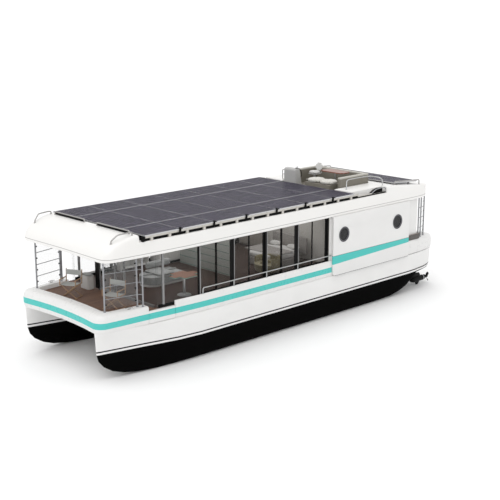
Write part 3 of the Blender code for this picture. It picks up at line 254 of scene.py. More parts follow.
def plain_object(name, mesh):
    made = bpy.data.objects.new(name, mesh)
    bpy.context.scene.collection.objects.link(made)
    return made


def worked_out(made):
    """An object's mesh after its modifiers; the object itself goes."""
    mesh = bpy.data.meshes.new_from_object(made.evaluated_get(bpy.context.evaluated_depsgraph_get()))
    bpy.data.objects.remove(made)
    return mesh


def eased(mesh, width, segments, degrees, harden=False):
    """The mesh with its edges rounded where they turn by more than an angle."""
    rough = plain_object("rough", mesh)
    bevel = rough.modifiers.new("eased_edges", "BEVEL")
    bevel.width = width
    bevel.segments = segments
    bevel.limit_method = "ANGLE"
    bevel.angle_limit = math.radians(degrees)
    bevel.harden_normals = harden
    return worked_out(rough)


def dressed(node, name, finish, ease=0.004, body="boat"):
    """A CAD node as one welded skin with eased edges, which stands for the node."""
    sharp = 32.0
    mesh, shape = welded(node)
    mesh.materials.clear()
    mesh.materials.append(finish)
    shape.to_mesh(mesh)
    shape.free()
    mesh.shade_smooth()
    mesh.set_sharp_from_angle(angle=math.radians(sharp))
    made = plain_object(name, eased(mesh, ease, 2, sharp, True))
    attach(made, body)
    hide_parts(node)


for word, side in both_sides:
    dressed("hull_" + word, "hull_skin_" + word, hull_gelcoat)

# Deck moulding and boarding gates
# One gelcoated moulding carries the deck edge and its coaming, with a broad turquoise stripe just
# under the coaming. The gates are pieces of the same side that fold down on a bottom hinge.
stripe_z = (1.766, 1.965)
stripe_colour = (0.085, 0.545, 0.505)
stripe_aft_x = -1.90
seam_shade_z = (1.605, 1.628)


def deck_stripe(finish, x, y, z):
    """1 on the turquoise stripe, which runs forward of the aft cabin's side."""
    return calc(finish, "MULTIPLY", between(finish, z, *stripe_z),
                calc(finish, "GREATER_THAN", x, stripe_aft_x))


def deck_seam_shade(finish, x, y, z):
    """1 on the dark line under the aft cabin's side: the seam there, painted darker as the shade under the
    panel's lapped edge.
    """
    return calc(finish, "MULTIPLY", between(finish, z, *seam_shade_z), calc(finish, "LESS_THAN", x, stripe_aft_x))


# The grey line under the aft cabin's side is the seam with painted shade under the lapped panel.
deck_gelcoat = painted("deck_gelcoat", (gelcoat_white, gelcoat_shade), 1.7,
                       [(deck_stripe, stripe_colour), (deck_seam_shade, (0.22, 0.22, 0.22))],
                       (9.0, 0.22, 0.36), (70.0, 0.05, 0.002), 0.3, Specular_IOR_Level=0.25)
dressed("deck_moulding", "deck_skin", deck_gelcoat, ease=0.006)
for word, side in both_sides:
    dressed("gate_" + word, "gate_skin_" + word, deck_gelcoat, body="gate_" + word)

# Laid floors
# Narrow teak planks with dark caulked seams on the open decks, and wide dark laminate boards in
# the cabin, all running fore and aft.
def plank_finish(name, colour, dark, width, seam, seam_colour, roughness):
    """Planks side by side, each with its own tone and fibre, and a seam between two of them."""
    finish = new_finish(name, roughness=roughness)
    spot, y = place_of(finish)[0:3:2]
    row = calc(finish, "DIVIDE", y, width)
    across = calc(finish, "FRACT", row)
    number = calc(finish, "FLOOR", row)
    tone = add_node(finish, "ShaderNodeTexWhiteNoise", {"W": number}, noise_dimensions="1D").outputs["Value"]
    stretched = add_node(finish, "ShaderNodeVectorMath", {0: spot, 1: (1.5, 26.0, 1.0)},
                         operation="MULTIPLY")
    fibre = mottle(finish, stretched.outputs[0], 3.0, 5.0)
    share = calc(finish, "ADD", calc(finish, "MULTIPLY", tone, 0.45), calc(finish, "MULTIPLY", fibre, 0.55))
    wood = mix_colour(finish, share, colour, dark)
    caulk = calc(finish, "LESS_THAN", across, seam / width)
    drive(finish, "Base Color", mix_colour(finish, caulk, wood, seam_colour))
    grain(finish, calc(finish, "SUBTRACT", calc(finish, "MULTIPLY", fibre, 0.3), caulk), 0.25, 0.002)
    return finish


teak = plank_finish("teak_planks", (0.205, 0.115, 0.075), (0.115, 0.058, 0.038), 0.075, 0.006,
                    (0.01, 0.01, 0.01), 0.6)
laminate = plank_finish("cabin_boards", (0.062, 0.034, 0.026), (0.034, 0.018, 0.014), 0.18, 0.003,
                        (0.008, 0.006, 0.005), 0.5)
for node, finish in (("floor_fore", teak), ("floor_aft", teak), ("floor_cabin", laminate)):
    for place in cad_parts[node].material_slots:
        place.material = finish

# Roof
# One big white moulding with a rounded nose and a skirt round its edge, marked by a fine groove whose shade
# is painted in as a dark band.
# Its middle is lower and carries the solar panels; the flybridge sits in a recess at its aft end.
groove_z = (3.938, 3.958)


def roof_groove_shade(finish, x, y, z):
    """1 in the groove round the skirt, painted dark as the groove's shade."""
    return between(finish, z, *groove_z)


# The groove's dark grey is painted shade.
roof_gelcoat = painted("roof_gelcoat", ((0.86, 0.85, 0.83), (0.83, 0.82, 0.80)), 1.1,
                       [(roof_groove_shade, (0.42, 0.41, 0.40))], (7.0, 0.30, 0.45), (55.0, 0.06, 0.002), 0.38,
                       Coat_Weight=0.15)
dressed("roof_shell", "roof_skin", roof_gelcoat, ease=0.008)

# Solar array
# Framed panels in three rows, each a dark laminate of square cells under glass. They lie on beams
# over the low middle of the roof, with an aluminium rail, feet and black clamps along each side.
def repeat_tree(name, points, places):
    """Geometry Nodes that set copies of a unit on the points of another node and give them a finish.
    Places pairs each named input with the socket of that node that it feeds."""
    tree = bpy.data.node_groups.new(name, "GeometryNodeTree")
    kinds = {"Unit": "Object", "Count": "Int", "Radius": "Float", "Start": "Vector", "Step": "Vector",
             "Finish": "Material"}
    for label in ("Unit", *places, "Finish"):
        tree.interface.new_socket(label, in_out="INPUT", socket_type="NodeSocket" + kinds[label])
    tree.interface.new_socket("Geometry", in_out="OUTPUT", socket_type="NodeSocketGeometry")
    entry, leave, dots, unit, spread, real, paint = [tree.nodes.new(kind) for kind in (
        "NodeGroupInput", "NodeGroupOutput", points, "GeometryNodeObjectInfo",
        "GeometryNodeInstanceOnPoints", "GeometryNodeRealizeInstances", "GeometryNodeSetMaterial")]
    links = [(entry, label, dots, socket) for label, socket in places.items()]
    links += [(entry, "Unit", unit, "Object"), (dots, "Mesh", spread, "Points"),
              (unit, "Geometry", spread, "Instance"), (spread, "Instances", real, "Geometry"),
              (real, "Geometry", paint, "Geometry"), (entry, "Finish", paint, "Material"),
              (paint, "Geometry", leave, "Geometry")]
    for source, output, target, socket in links:
        tree.links.new(source.outputs[output], target.inputs[socket])
    return tree


def copies(name, tree, unit_mesh, **values):
    """What a tree makes of a unit mesh, as one mesh."""
    values["Unit"] = plain_object(name + "_unit", unit_mesh)
    holder = plain_object(name + "_holder", bpy.data.meshes.new(name))
    modifier = holder.modifiers.new("repeat", "NODES")
    modifier.node_group = tree
    for item in tree.interface.items_tree:
        if item.in_out == "INPUT":
            modifier[item.identifier] = values[item.name]
    mesh = worked_out(holder)
    bpy.data.objects.remove(values["Unit"])
    return mesh


def settle(made, body, finishes=(), stands_for=(), angle=35.0):
    """Finish a made piece: its materials, its shading, and the body that it rides on."""
    for finish in finishes:
        made.data.materials.append(finish)
    made.data.shade_smooth()
    made.data.set_sharp_from_angle(angle=math.radians(angle))
    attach(made, body)
    if stands_for:
        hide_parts(*stands_for)
    return made


along_line = repeat_tree("repeat_along_line", "GeometryNodeMeshLine",
                         {"Count": "Count", "Start": "Start Location", "Step": "Offset"})


def repeated(name, unit_mesh, count, start, step, finish):
    """Copies of a unit mesh along a line, as one piece."""
    mesh = copies(name, along_line, unit_mesh, Count=count, Start=start, Step=step, Finish=finish)
    settle(plain_object(name, mesh), "boat")


def add_box(shape, low, high, ease=0.0, finish=0, turn=0.0):
    """A box between two corners with eased edges, turned about its own upright axis."""
    verts = bmesh.ops.create_cube(shape, size=1.0)["verts"]
    low, high = Vector(low), Vector(high)
    centre, size = (low + high) / 2, high - low
    c, s = math.cos(turn), math.sin(turn)
    for vert in verts:
        x, y, z = (vert.co[i] * size[i] for i in range(3))
        vert.co = centre + Vector((x * c - y * s, x * s + y * c, z))
    faces = {face for vert in verts for face in vert.link_faces}
    for face in faces:
        face.material_index = finish
    if ease:
        edges = list({edge for face in faces for edge in face.edges})
        bmesh.ops.bevel(shape, geom=edges, offset=ease, segments=2, affect="EDGES", profile=0.6)


def side_box(shape, side, low, high, ease=0.0, finish=0):
    """A box given as it lies to port, set on either side."""
    y0, y1 = sorted((side * low[1], side * high[1]))
    add_box(shape, (low[0], y0, low[2]), (high[0], y1, high[2]), ease, finish)


def circle_of(centre, first, second, radius, count):
    """Points round a circle that two directions span."""
    return [centre + radius * (first * math.cos(a) + second * math.sin(a))
            for a in (2 * math.pi * i / count for i in range(count))]


def add_tube(shape, points, radius, sides=12, finish=0, closed=False, end_radius=None):
    """A round tube through points, with filled ends."""
    points = [Vector(point) for point in points]
    count = len(points)
    rings = []
    side = None
    for k, point in enumerate(points):
        before = points[k - 1] if closed or k else point
        after = points[(k + 1) % count] if closed or k < count - 1 else point
        along = (after - before).normalized()
        if side is None:
            side = along.orthogonal().normalized()
        side = (side - along * side.dot(along)).normalized()
        size = radius if end_radius is None else radius + (end_radius - radius) * k / (count - 1)
        rings.append([shape.verts.new(place) for place in circle_of(point, side, along.cross(side), size,
                                                                    sides)])
    made = []
    for lower, upper in list(zip(rings, rings[1:])) + ([(rings[-1], rings[0])] if closed else []):
        shift = 0
        if closed and lower is rings[-1]:
            shift = min(range(sides), key=lambda s: (lower[0].co - upper[s].co).length)
        for i in range(sides):
            j = (i + 1) % sides
            corners = (lower[i], lower[j], upper[(j + shift) % sides], upper[(i + shift) % sides])
            made.append(shape.faces.new(corners))
    if not closed:
        made.append(shape.faces.new(list(reversed(rings[0]))))
        made.append(shape.faces.new(rings[-1]))
    for face in made:
        face.material_index = finish


def rounded(points, radius, steps=4):
    """The same path with its corners turned on a radius."""
    points = [Vector(point) for point in points]
    path = [points[0]]
    for before, corner, after in zip(points, points[1:], points[2:]):
        back, on = (before - corner), (after - corner)
        reach = min(radius, back.length * 0.49, on.length * 0.49)
        start, end = corner + back.normalized() * reach, corner + on.normalized() * reach
        for k in range(steps + 1):
            t = k / steps
            path.append((1 - t) ** 2 * start + 2 * t * (1 - t) * corner + t * t * end)
    path.append(points[-1])
    return path


def add_turned(shape, profile, start, direction, steps=24, finish=0):
    """A turned shape: pairs of distance along the axis and radius."""
    start, along = Vector(start), Vector(direction).normalized()
    side = along.orthogonal().normalized()
    rings = []
    for distance, radius in profile:
        centre = start + along * distance
        places = circle_of(centre, side, along.cross(side), radius, steps) if radius else [centre]
        rings.append([shape.verts.new(place) for place in places])
    for lower, upper in zip(rings, rings[1:]):
        for i in range(steps):
            j = (i + 1) % steps
            corners = [lower[i % len(lower)], lower[j % len(lower)], upper[j % len(upper)],
                       upper[i % len(upper)]]
            corners = list(dict.fromkeys(corners))
            if len(corners) > 2:
                shape.faces.new(corners).material_index = finish


def mesh_from(shape, name):
    """A bmesh as a mesh."""
    mesh = bpy.data.meshes.new(name)
    shape.to_mesh(mesh)
    shape.free()
    return mesh


def made_of(shape, name, body, finishes, stands_for=(), angle=35.0):
    """A piece from a bmesh, with its faces outwards."""
    bmesh.ops.remove_doubles(shape, verts=shape.verts, dist=0.00002)
    bmesh.ops.recalc_face_normals(shape, faces=shape.faces)
    settle(plain_object(name, mesh_from(shape, name)), body, finishes, stands_for, angle)


cell_pitch = 0.158
cell_seam = 0.006
panel_step = 1.45
first_seam_x = 5.45
long_frame = 0.022
end_frame = 0.011


def cell_finish():
    """Square cells with fine silver lines, under glass."""
    finish = new_finish("solar_cells", roughness=0.34, Specular_IOR_Level=0.02)
    x, y = place_of(finish)[1:3]
    lines = None
    for axis in (x, y):
        across = calc(finish, "FRACT", calc(finish, "DIVIDE", axis, cell_pitch))
        seam = calc(finish, "LESS_THAN", across, cell_seam / cell_pitch)
        lines = seam if lines is None else calc(finish, "MAXIMUM", lines, seam)
    wires = calc(finish, "LESS_THAN", calc(finish, "FRACT", calc(finish, "DIVIDE", y, cell_pitch / 3)),
                 0.035)
    cell_x, cell_y = (calc(finish, "FLOOR", calc(finish, "DIVIDE", axis, cell_pitch)) for axis in (x, y))
    number = add_node(finish, "ShaderNodeCombineXYZ", {0: cell_x, 1: cell_y}).outputs[0]
    tone = add_node(finish, "ShaderNodeTexWhiteNoise", {"Vector": number},
                    noise_dimensions="3D").outputs["Value"]
    cell = mix_colour(finish, tone, (0.007, 0.005, 0.015), (0.034, 0.028, 0.052))
    cell = mix_colour(finish, calc(finish, "MULTIPLY", wires, 0.20), cell, (0.25, 0.25, 0.28))
    drive(finish, "Base Color", mix_colour(finish, calc(finish, "MULTIPLY", lines, 0.9), cell,
                                           (0.50, 0.49, 0.54)))
    return finish


def metal_finish(name, colour, roughness, metallic=1.0, brushed=40.0):
    """Metal with fine streaks, brushed at a scale."""
    finish = new_finish(name, colour, roughness, metallic)
    streaks = mottle(finish, place_of(finish)[0], brushed, 4.0)
    gloss_variation(finish, streaks, roughness * 0.75, roughness * 1.3)
    grain(finish, streaks, 0.08, 0.0008)
    return finish


solar_cells = cell_finish()
anodised = metal_finish("anodised_aluminium", (0.60, 0.60, 0.61), 0.38, 0.85)
rail_cream = metal_finish("rail_aluminium", (0.56, 0.54, 0.50), 0.45, 0.5)
clamp_black = new_finish("clamp_black", (0.004, 0.004, 0.004), 0.6, Specular_IOR_Level=0.1)
grain(clamp_black, mottle(clamp_black, place_of(clamp_black)[0], 300.0), 0.1, 0.0005)


def add_panel(shape, x0, x1, y0, y1, top):
    """One framed panel: the laminate just below a narrow frame."""
    add_box(shape, (x0 + end_frame, y0 + long_frame, top - 0.030),
            (x1 - end_frame, y1 - long_frame, top - 0.003))
    for low, high in (((x0, y0), (x1, y0 + long_frame)), ((x0, y1 - long_frame), (x1, y1)),
                      ((x0, y0 + long_frame), (x0 + end_frame, y1 - long_frame)),
                      ((x1 - end_frame, y0 + long_frame), (x1, y1 - long_frame))):
        add_box(shape, (*low, top - 0.038), (*high, top), 0.002, 1)


for row in ("port", "middle", "starboard"):
    low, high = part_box("solar_" + row)
    shape = bmesh.new()
    edges = [high.x] + [first_seam_x - panel_step * k for k in range(7)]
    edges[-1] = low.x
    for ahead, behind in zip(edges, edges[1:]):
        add_panel(shape, behind + 0.003, ahead - 0.003, low.y, high.y, high.z)
    beams = 3 if row == "middle" else 2
    for k in range(beams):
        y = low.y + (high.y - low.y) * (k + 0.5) / beams
        add_box(shape, (low.x + 0.05, y - 0.025, low.z), (high.x - 0.05, y + 0.025, high.z - 0.036), 0.003,
                2)
    made_of(shape, "panel_row_" + row, "boat", [solar_cells, anodised, clamp_black],
            ["solar_" + row])

roof_edge_z = 4.5705
rail_low_z = 4.450
row_edge_y = 2.440
clamp_low_z = 4.43
clamp_top = {"port": 4.600, "starboard": 4.545}
for word, side in both_sides:
    low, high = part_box("array_rail_" + word)
    y0, y1 = low.y + 0.01, high.y - 0.01
    outer = side * max(abs(y0), abs(y1))
    lip = sorted((outer + side * 0.006, outer - side * 0.01))
    shape = bmesh.new()
    add_box(shape, (low.x, y0, rail_low_z), (high.x, y1, high.z), 0.006)
    add_box(shape, (low.x, lip[0], high.z - 0.028), (high.x, lip[1], high.z), 0.003)
    # A black band behind the feet fills the gaps between them with painted shade.
    side_box(shape, side, (low.x, row_edge_y, low.z), (high.x, row_edge_y + 0.0145, rail_low_z + 0.008),
             0.001, 1)
    made_of(shape, "panel_rail_" + word, "boat", [rail_cream, clamp_black],
            ["array_rail_" + word])
    foot = bmesh.new()
    add_box(foot, (-0.10, y0 - 0.010, low.z), (0.0, y1 + 0.010, rail_low_z + 0.005), 0.004)
    tongue_y = outer + 0.012 if side > 0 else y1 - 0.008
    add_box(foot, (-0.045, y0 + 0.008, rail_low_z - 0.004), (-0.015, tongue_y, rail_low_z + 0.03), 0.002)
    repeated("rail_feet_" + word, mesh_from(foot, "rail_foot"), 14, (high.x - 0.20, 0.0, 0.0),
             (-panel_step / 2, 0.0, 0.0), rail_cream)
    clamp = bmesh.new()
    side_box(clamp, side, (-0.035, 2.497, clamp_low_z), (0.035, 2.540, clamp_top[word]), 0.006)
    if side > 0:
        add_box(clamp, (-0.055, 2.497, 4.5605), (0.055, 2.597, 4.580), 0.002)
    repeated("panel_clamps_" + word, mesh_from(clamp, "panel_clamp"), 6, (first_seam_x, 0.0, 0.0),
             (-panel_step, 0.0, 0.0), clamp_black)
    shape = bmesh.new()
    side_box(shape, side, (high.x, 2.40, low.z), (high.x + 0.11, 2.50, 4.505), 0.008)
    made_of(shape, "rail_end_" + word, "boat", [clamp_black])
    # A black strip behind each front rail is painted shade: it stands for the shadow and dark gap under the
    # rail and the panels' front edge.
    shape = bmesh.new()
    side_box(shape, side, (7.088, 0.385, roof_edge_z), (7.112, 1.995, 4.636), 0.003)
    made_of(shape, "front_rail_strip_" + word, "boat", [clamp_black])

low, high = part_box("solar_aft")
shape = bmesh.new()
aft_panel_fall = 0.09


def roof_height(x):
    """Top of the roof, which falls towards its aft edge."""
    return 4.57 - 0.26 * max(0.0, -5.35 - x) / 2.45


def tilted(x):
    """The top of the aft panels, which lie flatter than the roof below them."""
    return high.z - (high.x - x) * aft_panel_fall / (high.x - low.x)


half_y = (high.y - low.y) / 2
for y in (low.y, low.y + half_y):
    add_panel(shape, low.x, high.x, y + 0.003, y + half_y - 0.003, 0.0)
for vert in shape.verts:
    vert.co.z += tilted(vert.co.x)
for x in (-5.8, -6.9):
    for y in (-2.0, 2.0):
        add_box(shape, (x - 0.03, y - 0.03, roof_height(x) + 0.0035),
                (x + 0.03, y + 0.03, tilted(x) - 0.03), 0.003, 1)
made_of(shape, "aft_panels", "boat", [solar_cells, anodised], ["solar_aft"])

# Roof grab rails
# Bent stainless tubes let into the roof, with a small turned collar round each foot. There is a
# pair beside the nose, a pair across the front of the panels and a pair at the aft panel.
polished = metal_finish("polished_tube", (0.42, 0.41, 0.40), 0.24, 0.9, 25.0)
tube_r = 0.023


def add_collar(shape, x, y, z, radius=0.038):
    """The collar round a rail's foot."""
    profile = ((-0.02, 0.0), (-0.02, radius), (0.004, radius), (0.010, radius * 0.8), (0.012, 0.0))
    add_turned(shape, profile, (x, y, z), (0, 0, 1), 20)


nose_x = (7.86, 7.14)
front_x = 7.10
front_y = (0.34, 2.04)
arch_z = 4.66
for word, side in both_sides:
    low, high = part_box("grab_rail_fore_" + word)
    ys = sorted((abs(low.y), abs(high.y)))
    y0, y1 = side * (ys[0] + tube_r), side * (ys[1] - tube_r)
    shape = bmesh.new()
    path = [(nose_x[0], y0, low.z), (nose_x[0], y0, 4.46), (7.66, y0 + side * 0.08, 4.64),
            (7.22, y1, arch_z), (nose_x[1], y1, 4.64), (nose_x[1], y1, 4.51)]
    add_tube(shape, rounded(path, 0.06), tube_r)
    add_collar(shape, nose_x[0], y0, 4.385)
    add_collar(shape, nose_x[1], y1, 4.560)
    made_of(shape, "nose_rail_" + word, "boat", [polished], ["grab_rail_fore_" + word])
    shape = bmesh.new()
    inner, outer = side * front_y[0], side * front_y[1]
    path = [(front_x, inner, 4.51), (front_x, inner, arch_z), (front_x, outer, arch_z),
            (front_x, outer, 4.51)]
    add_tube(shape, rounded(path, 0.05), tube_r)
    for y in (inner, outer):
        add_collar(shape, front_x, y, 4.563)
    made_of(shape, "front_rail_" + word, "boat", [polished], ["grab_rail_mid_" + word])
    low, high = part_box("grab_rail_aft_" + word)
    y, x0, x1 = (low.y + high.y) / 2, low.x + tube_r, high.x - tube_r
    z0, z1 = roof_height(x0), roof_height(x1)
    shape = bmesh.new()
    path = [(x1, y, z1 + 0.001), (x1, y, z1 + 0.13), (x0, y, z0 + 0.19), (x0, y, z0 + 0.001)]
    add_tube(shape, rounded(path, 0.06), tube_r)
    add_collar(shape, x1, y, z1 + 0.002)
    add_collar(shape, x0, y, z0 + 0.002)
    made_of(shape, "aft_rail_" + word, "boat", [polished], ["grab_rail_aft_" + word])

# Post frames
# Round posts carry the open ends of the roof. Cross bars and a pane of light screen glass stand
# between them, held by small black clamps, and each post has a turned foot on the coaming.
post_metal = metal_finish("post_metal", (0.33, 0.335, 0.35), 0.4, 0.6, 30.0)
screen_glass = new_finish("screen_glass", (0.42, 0.43, 0.43), 0.08, Alpha=0.07, Specular_IOR_Level=0.2)
spot = place_of(screen_glass)[0]
gloss_variation(screen_glass, mottle(screen_glass, spot, 4.0), 0.05, 0.12)
post_r = 0.028
bar_r = 0.012
bars_z = (2.60, 3.00, 3.41)
screen_top_z = 3.75
coaming_z = 2.2003
nose_top_z = 3.8497
ceiling_z = 4.1197
fore_posts = ((8.03, 1.90, nose_top_z), (6.93, 2.13, ceiling_z), (6.80, 2.25, ceiling_z))
aft_posts = ((-7.66, 2.25, nose_top_z), (-7.34, 2.345, ceiling_z), (-7.14, 2.385, ceiling_z))
post_foot = ((0.0, 0.0), (0.0, 0.046), (0.008, 0.046), (0.014, 0.034), (0.016, 0.0))
for place, posts in (("fore", fore_posts), ("aft", aft_posts)):
    for word, side in both_sides:
        shape = bmesh.new()
        spots = [Vector((x, side * y, 0)) for x, y, top in posts]
        for x, y, top in posts:
            add_tube(shape, [(x, side * y, coaming_z), (x, side * y, top)], post_r, 20)
            add_turned(shape, post_foot, (x, side * y, coaming_z), (0, 0, 1), 24)
        for a, b in zip(spots, spots[1:]):
            for z in bars_z:
                add_tube(shape, [a + Vector((0, 0, z)), b + Vector((0, 0, z))], bar_r, 12)
        a, b = spots[0], spots[1]
        along = (b - a).normalized()
        turn = math.atan2(along.y, along.x)
        middle, reach = (a + b) / 2, (b - a).length / 2 - post_r - 0.012
        add_box(shape, (middle.x - reach, middle.y - 0.004, coaming_z + 0.10),
                (middle.x + reach, middle.y + 0.004, screen_top_z), 0.0015, 1, turn)
        made_of(shape, "post_rails_%s_%s" % (place, word), "boat", [post_metal, screen_glass],
                ["post_frame_%s_%s" % (place, word)])
        for end, corner, way in (("outer", a, along), ("inner", b, -along)):
            clip = bmesh.new()
            half = Vector((0.026, 0.011, 0.018))
            hold = corner + way * (post_r + 0.016)
            add_box(clip, hold - half, hold + half, 0.004, 0, turn)
            repeated("screen_clips_%s_%s_%s" % (end, place, word), mesh_from(clip, "screen_clip"), 4,
                     (0, 0, 2.42), (0, 0, 0.40), clamp_black)

# Window walls
# Powder-coated black sashes with smoked panes between light aluminium posts along both sides. The
# angled bays at the front have clear panes. Two leaves a side slide forward on a track.
frame_black = new_finish("frame_black", (0.005, 0.005, 0.005), 0.5, Specular_IOR_Level=0.1)
spot = place_of(frame_black)[0]
grain(frame_black, mottle(frame_black, spot, 500.0), 0.12, 0.0004)
gloss_variation(frame_black, mottle(frame_black, spot, 12.0), 0.42, 0.6)
post_light = metal_finish("post_light", (0.25, 0.25, 0.25), 0.45, 0.3, 30.0)


def glass_finish(name, tint, alpha):
    """Float glass: its tint, and how much of the light it stops."""
    finish = new_finish(name, tint, 0.03, Alpha=alpha, Specular_IOR_Level=0.3)
    gloss_variation(finish, mottle(finish, place_of(finish)[0], 2.5), 0.02, 0.05)
    return finish


smoked_glass = glass_finish("smoked_glass", (0.045, 0.040, 0.035), 0.20)
clear_glass = glass_finish("clear_glass", (0.12, 0.13, 0.13), 0.07)


def glazed(node, name, finishes, pick, body="boat", cuts=()):
    """A CAD frame with its panes, each face finished by where it lies and looks, and split at cuts."""
    ease = 0.002
    mesh, shape = welded(node)
    mesh.materials.clear()
    for axis, place in cuts:
        across = Vector([1.0 if i == axis else 0.0 for i in range(3)])
        bmesh.ops.bisect_plane(shape, geom=shape.verts[:] + shape.edges[:] + shape.faces[:],
                               plane_co=across * place, plane_no=across)
    for face in shape.faces:
        face.material_index = pick(face.calc_center_median(), face.normal)
    edges = [edge for edge in shape.edges if edge.is_manifold and edge.calc_face_angle(0) > 0.6
             and all(face.material_index < 2 for face in edge.link_faces) and edge.calc_length() > 4 * ease]
    bmesh.ops.bevel(shape, geom=edges, offset=ease, segments=1, affect="EDGES", clamp_overlap=True)
    shape.to_mesh(mesh)
    shape.free()
    settle(plain_object(name, mesh), body, finishes, [node], 30.0)


sash_z = (2.141, 3.979)
post_middle_z = 3.06


def at_post(centre, front, aft):
    """Whether a face lies on the upright between two places."""
    return aft < centre.x < front and abs(centre.z - post_middle_z) < 0.90


def side_pick(centre, normal):
    if abs(normal.y) > 0.9 and 2.376 < abs(centre.y) < 2.392:
        return 2
    return 1 if at_post(centre, 4.582, 4.538) else 0


leaf_bays = ((4.54, 3.13), (1.50, 0.01))
fixed_bays = ((3.05, 1.58), (-0.07, -1.62))
for word, side in both_sides:
    glazed("side_frame_" + word, "window_wall_" + word, [frame_black, post_light, smoked_glass], side_pick,
           cuts=((0, 4.539), (2, sash_z[0]), (2, sash_z[1])))
    shape = bmesh.new()
    for front, aft in fixed_bays:
        side_box(shape, side, (aft + 0.001, 2.374, sash_z[0]), (aft + 0.075, 2.398, sash_z[1]), 0.003)
        side_box(shape, side, (aft + 0.075, 2.374, sash_z[0]), (front - 0.001, 2.398, 2.235), 0.003)
    for front, aft in leaf_bays:
        middle = (front + aft) / 2
        side_box(shape, side, (middle + 0.025, 2.374, sash_z[0]), (front - 0.001, 2.398, 2.235), 0.003)
    made_of(shape, "sashes_" + word, "boat", [frame_black])
    shape = bmesh.new()
    for x in (3.028, 1.478, -0.092):
        side_box(shape, side, (x - 0.018, 2.392, sash_z[0] + 0.001), (x + 0.014, 2.436, sash_z[1] - 0.001),
                 0.003)
    made_of(shape, "cover_strips_" + word, "boat", [post_light])

    for number, (front, aft) in enumerate(leaf_bays, 1):
        x0, x1 = aft + 0.010, (front + aft) / 2 + 0.015
        z0, z1 = 2.1405, 3.97
        shape = bmesh.new()
        for low, high in (((x0, z0), (x0 + 0.080, z1)), ((x1 - 0.040, z0), (x1, z1)),
                          ((x0 + 0.080, z0), (x1 - 0.040, z0 + 0.095)),
                          ((x0 + 0.080, z1 - 0.05), (x1 - 0.040, z1))):
            side_box(shape, side, (low[0], 2.405, low[1]), (high[0], 2.433, high[1]), 0.003)
        side_box(shape, side, (x0 + 0.075, 2.414, z0 + 0.09), (x1 - 0.035, 2.424, z1 - 0.045), 0.0, 1)
        side_box(shape, side, (x1 - 0.032, 2.4335, 2.95), (x1 - 0.010, 2.438, 3.17), 0.002)
        leaf = "leaf_%s_%d" % (word, number)
        made_of(shape, "sliding_" + leaf, leaf, [frame_black, smoked_glass], [leaf])

bay_foot_x = 4.5805
bay_foot_y = 2.405
bay_turn = math.atan2(2.30 - bay_foot_y, 6.2995 - bay_foot_x)


def bay_pick(centre, normal):
    middle = bay_foot_y + (centre.x - bay_foot_x) * math.tan(bay_turn)
    if abs(normal.y) > 0.9 and abs(abs(centre.y) - middle) < 0.02 or centre.x > 6.2:
        return 2
    return 1 if at_post(centre, 6.08, 5.98) else 0


def front_pick(centre, normal):
    if abs(centre.y) > 2.19:
        return 2
    if abs(normal.x) > 0.9 and 6.34 < centre.x < 6.3595 and centre.y > -0.70 and 2.2 < centre.z < 3.95:
        return 2
    return 0 if centre.y < -0.665 else 1


def door_pick(centre, normal):
    return 2 if abs(normal.x) > 0.9 and 6.259 < centre.x < 6.271 else 1


for word, side in both_sides:
    glazed("bay_frame_" + word, "front_bay_" + word, [frame_black, post_light, clear_glass], bay_pick,
           cuts=((0, 5.985), (0, 6.075), (0, 6.21), (2, sash_z[0]), (2, sash_z[1])))
glazed("front_wall", "front_glazing", [frame_black, post_light, clear_glass], front_pick,
       cuts=((1, -2.195), (1, -0.665), (1, 2.195)))
glazed("front_door", "front_sliding_door", [frame_black, post_light, clear_glass], door_pick,
       "front_door")
shape = bmesh.new()
add_box(shape, (6.361, -0.88, 2.10), (6.375, -0.68, 3.98), 0.003)
made_of(shape, "front_jamb", "boat", [frame_black])

# Aft walls and partition
# The aft wall is a white sandwich panel with a glazed door on two knuckle hinges. The partition
# of the aft cabin is a pale laminate panel.
wall_white = painted("wall_white", (gelcoat_white, gelcoat_shade), 1.5, (), (9.0, 0.32, 0.48),
                     (120.0, 0.05, 0.001), 0.4)
wall_laminate = painted("wall_laminate", ((0.62, 0.60, 0.56), (0.55, 0.53, 0.50)), 2.2,
                        bump=(200.0, 0.06, 0.0006))


def aft_door_pick(centre, normal):
    on_pane = abs(centre.y) < 0.32 and 2.88 < centre.z < 3.70 and -7.022 < centre.x < -7.008
    if abs(normal.x) > 0.9 and on_pane:
        return 2
    return 1 if centre.x < -7.04 and centre.y > 0.38 else 0


dressed("aft_wall", "aft_panel_wall", wall_white, ease=0.003)
glazed("aft_door", "aft_cabin_door", [wall_white, post_light, smoked_glass], aft_door_pick,
       "aft_door")
shape = bmesh.new()
add_box(shape, (-7.062, -0.40, 2.98), (-7.044, -0.345, 3.10), 0.004)
add_tube(shape, rounded([(-7.052, -0.372, 3.05), (-7.088, -0.372, 3.05), (-7.088, -0.26, 3.05)], 0.02),
         0.009, 10)
made_of(shape, "aft_door_handle", "aft_door", [polished])
dressed("mid_wall", "partition", wall_laminate, ease=0.003)

# Sides of the aft cabin
# A bulged white moulding laps over the hull joint on each side, with a turquoise stripe under a
# fine dark line. Two round portholes sit in it, in dark metal rings held by screws.
panel_stripe_z = (2.06, 2.37)
panel_foot_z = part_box("side_panel_port")[0].z + 0.018


def outside(finish, y):
    """1 on the panels' outer faces."""
    return calc(finish, "GREATER_THAN", calc(finish, "ABSOLUTE", y), 2.53)


def panel_stripe(finish, x, y, z):
    """1 on the stripe, whose lower edge climbs aft."""
    low, high = panel_stripe_z
    edge = add_node(finish, "ShaderNodeMapRange", {"Value": x, "From Min": -6.29, "From Max": -1.80,
                                                   "To Min": low + 0.13, "To Max": low}).outputs[0]
    return calc(finish, "MULTIPLY", between(finish, z, edge, high), outside(finish, y))


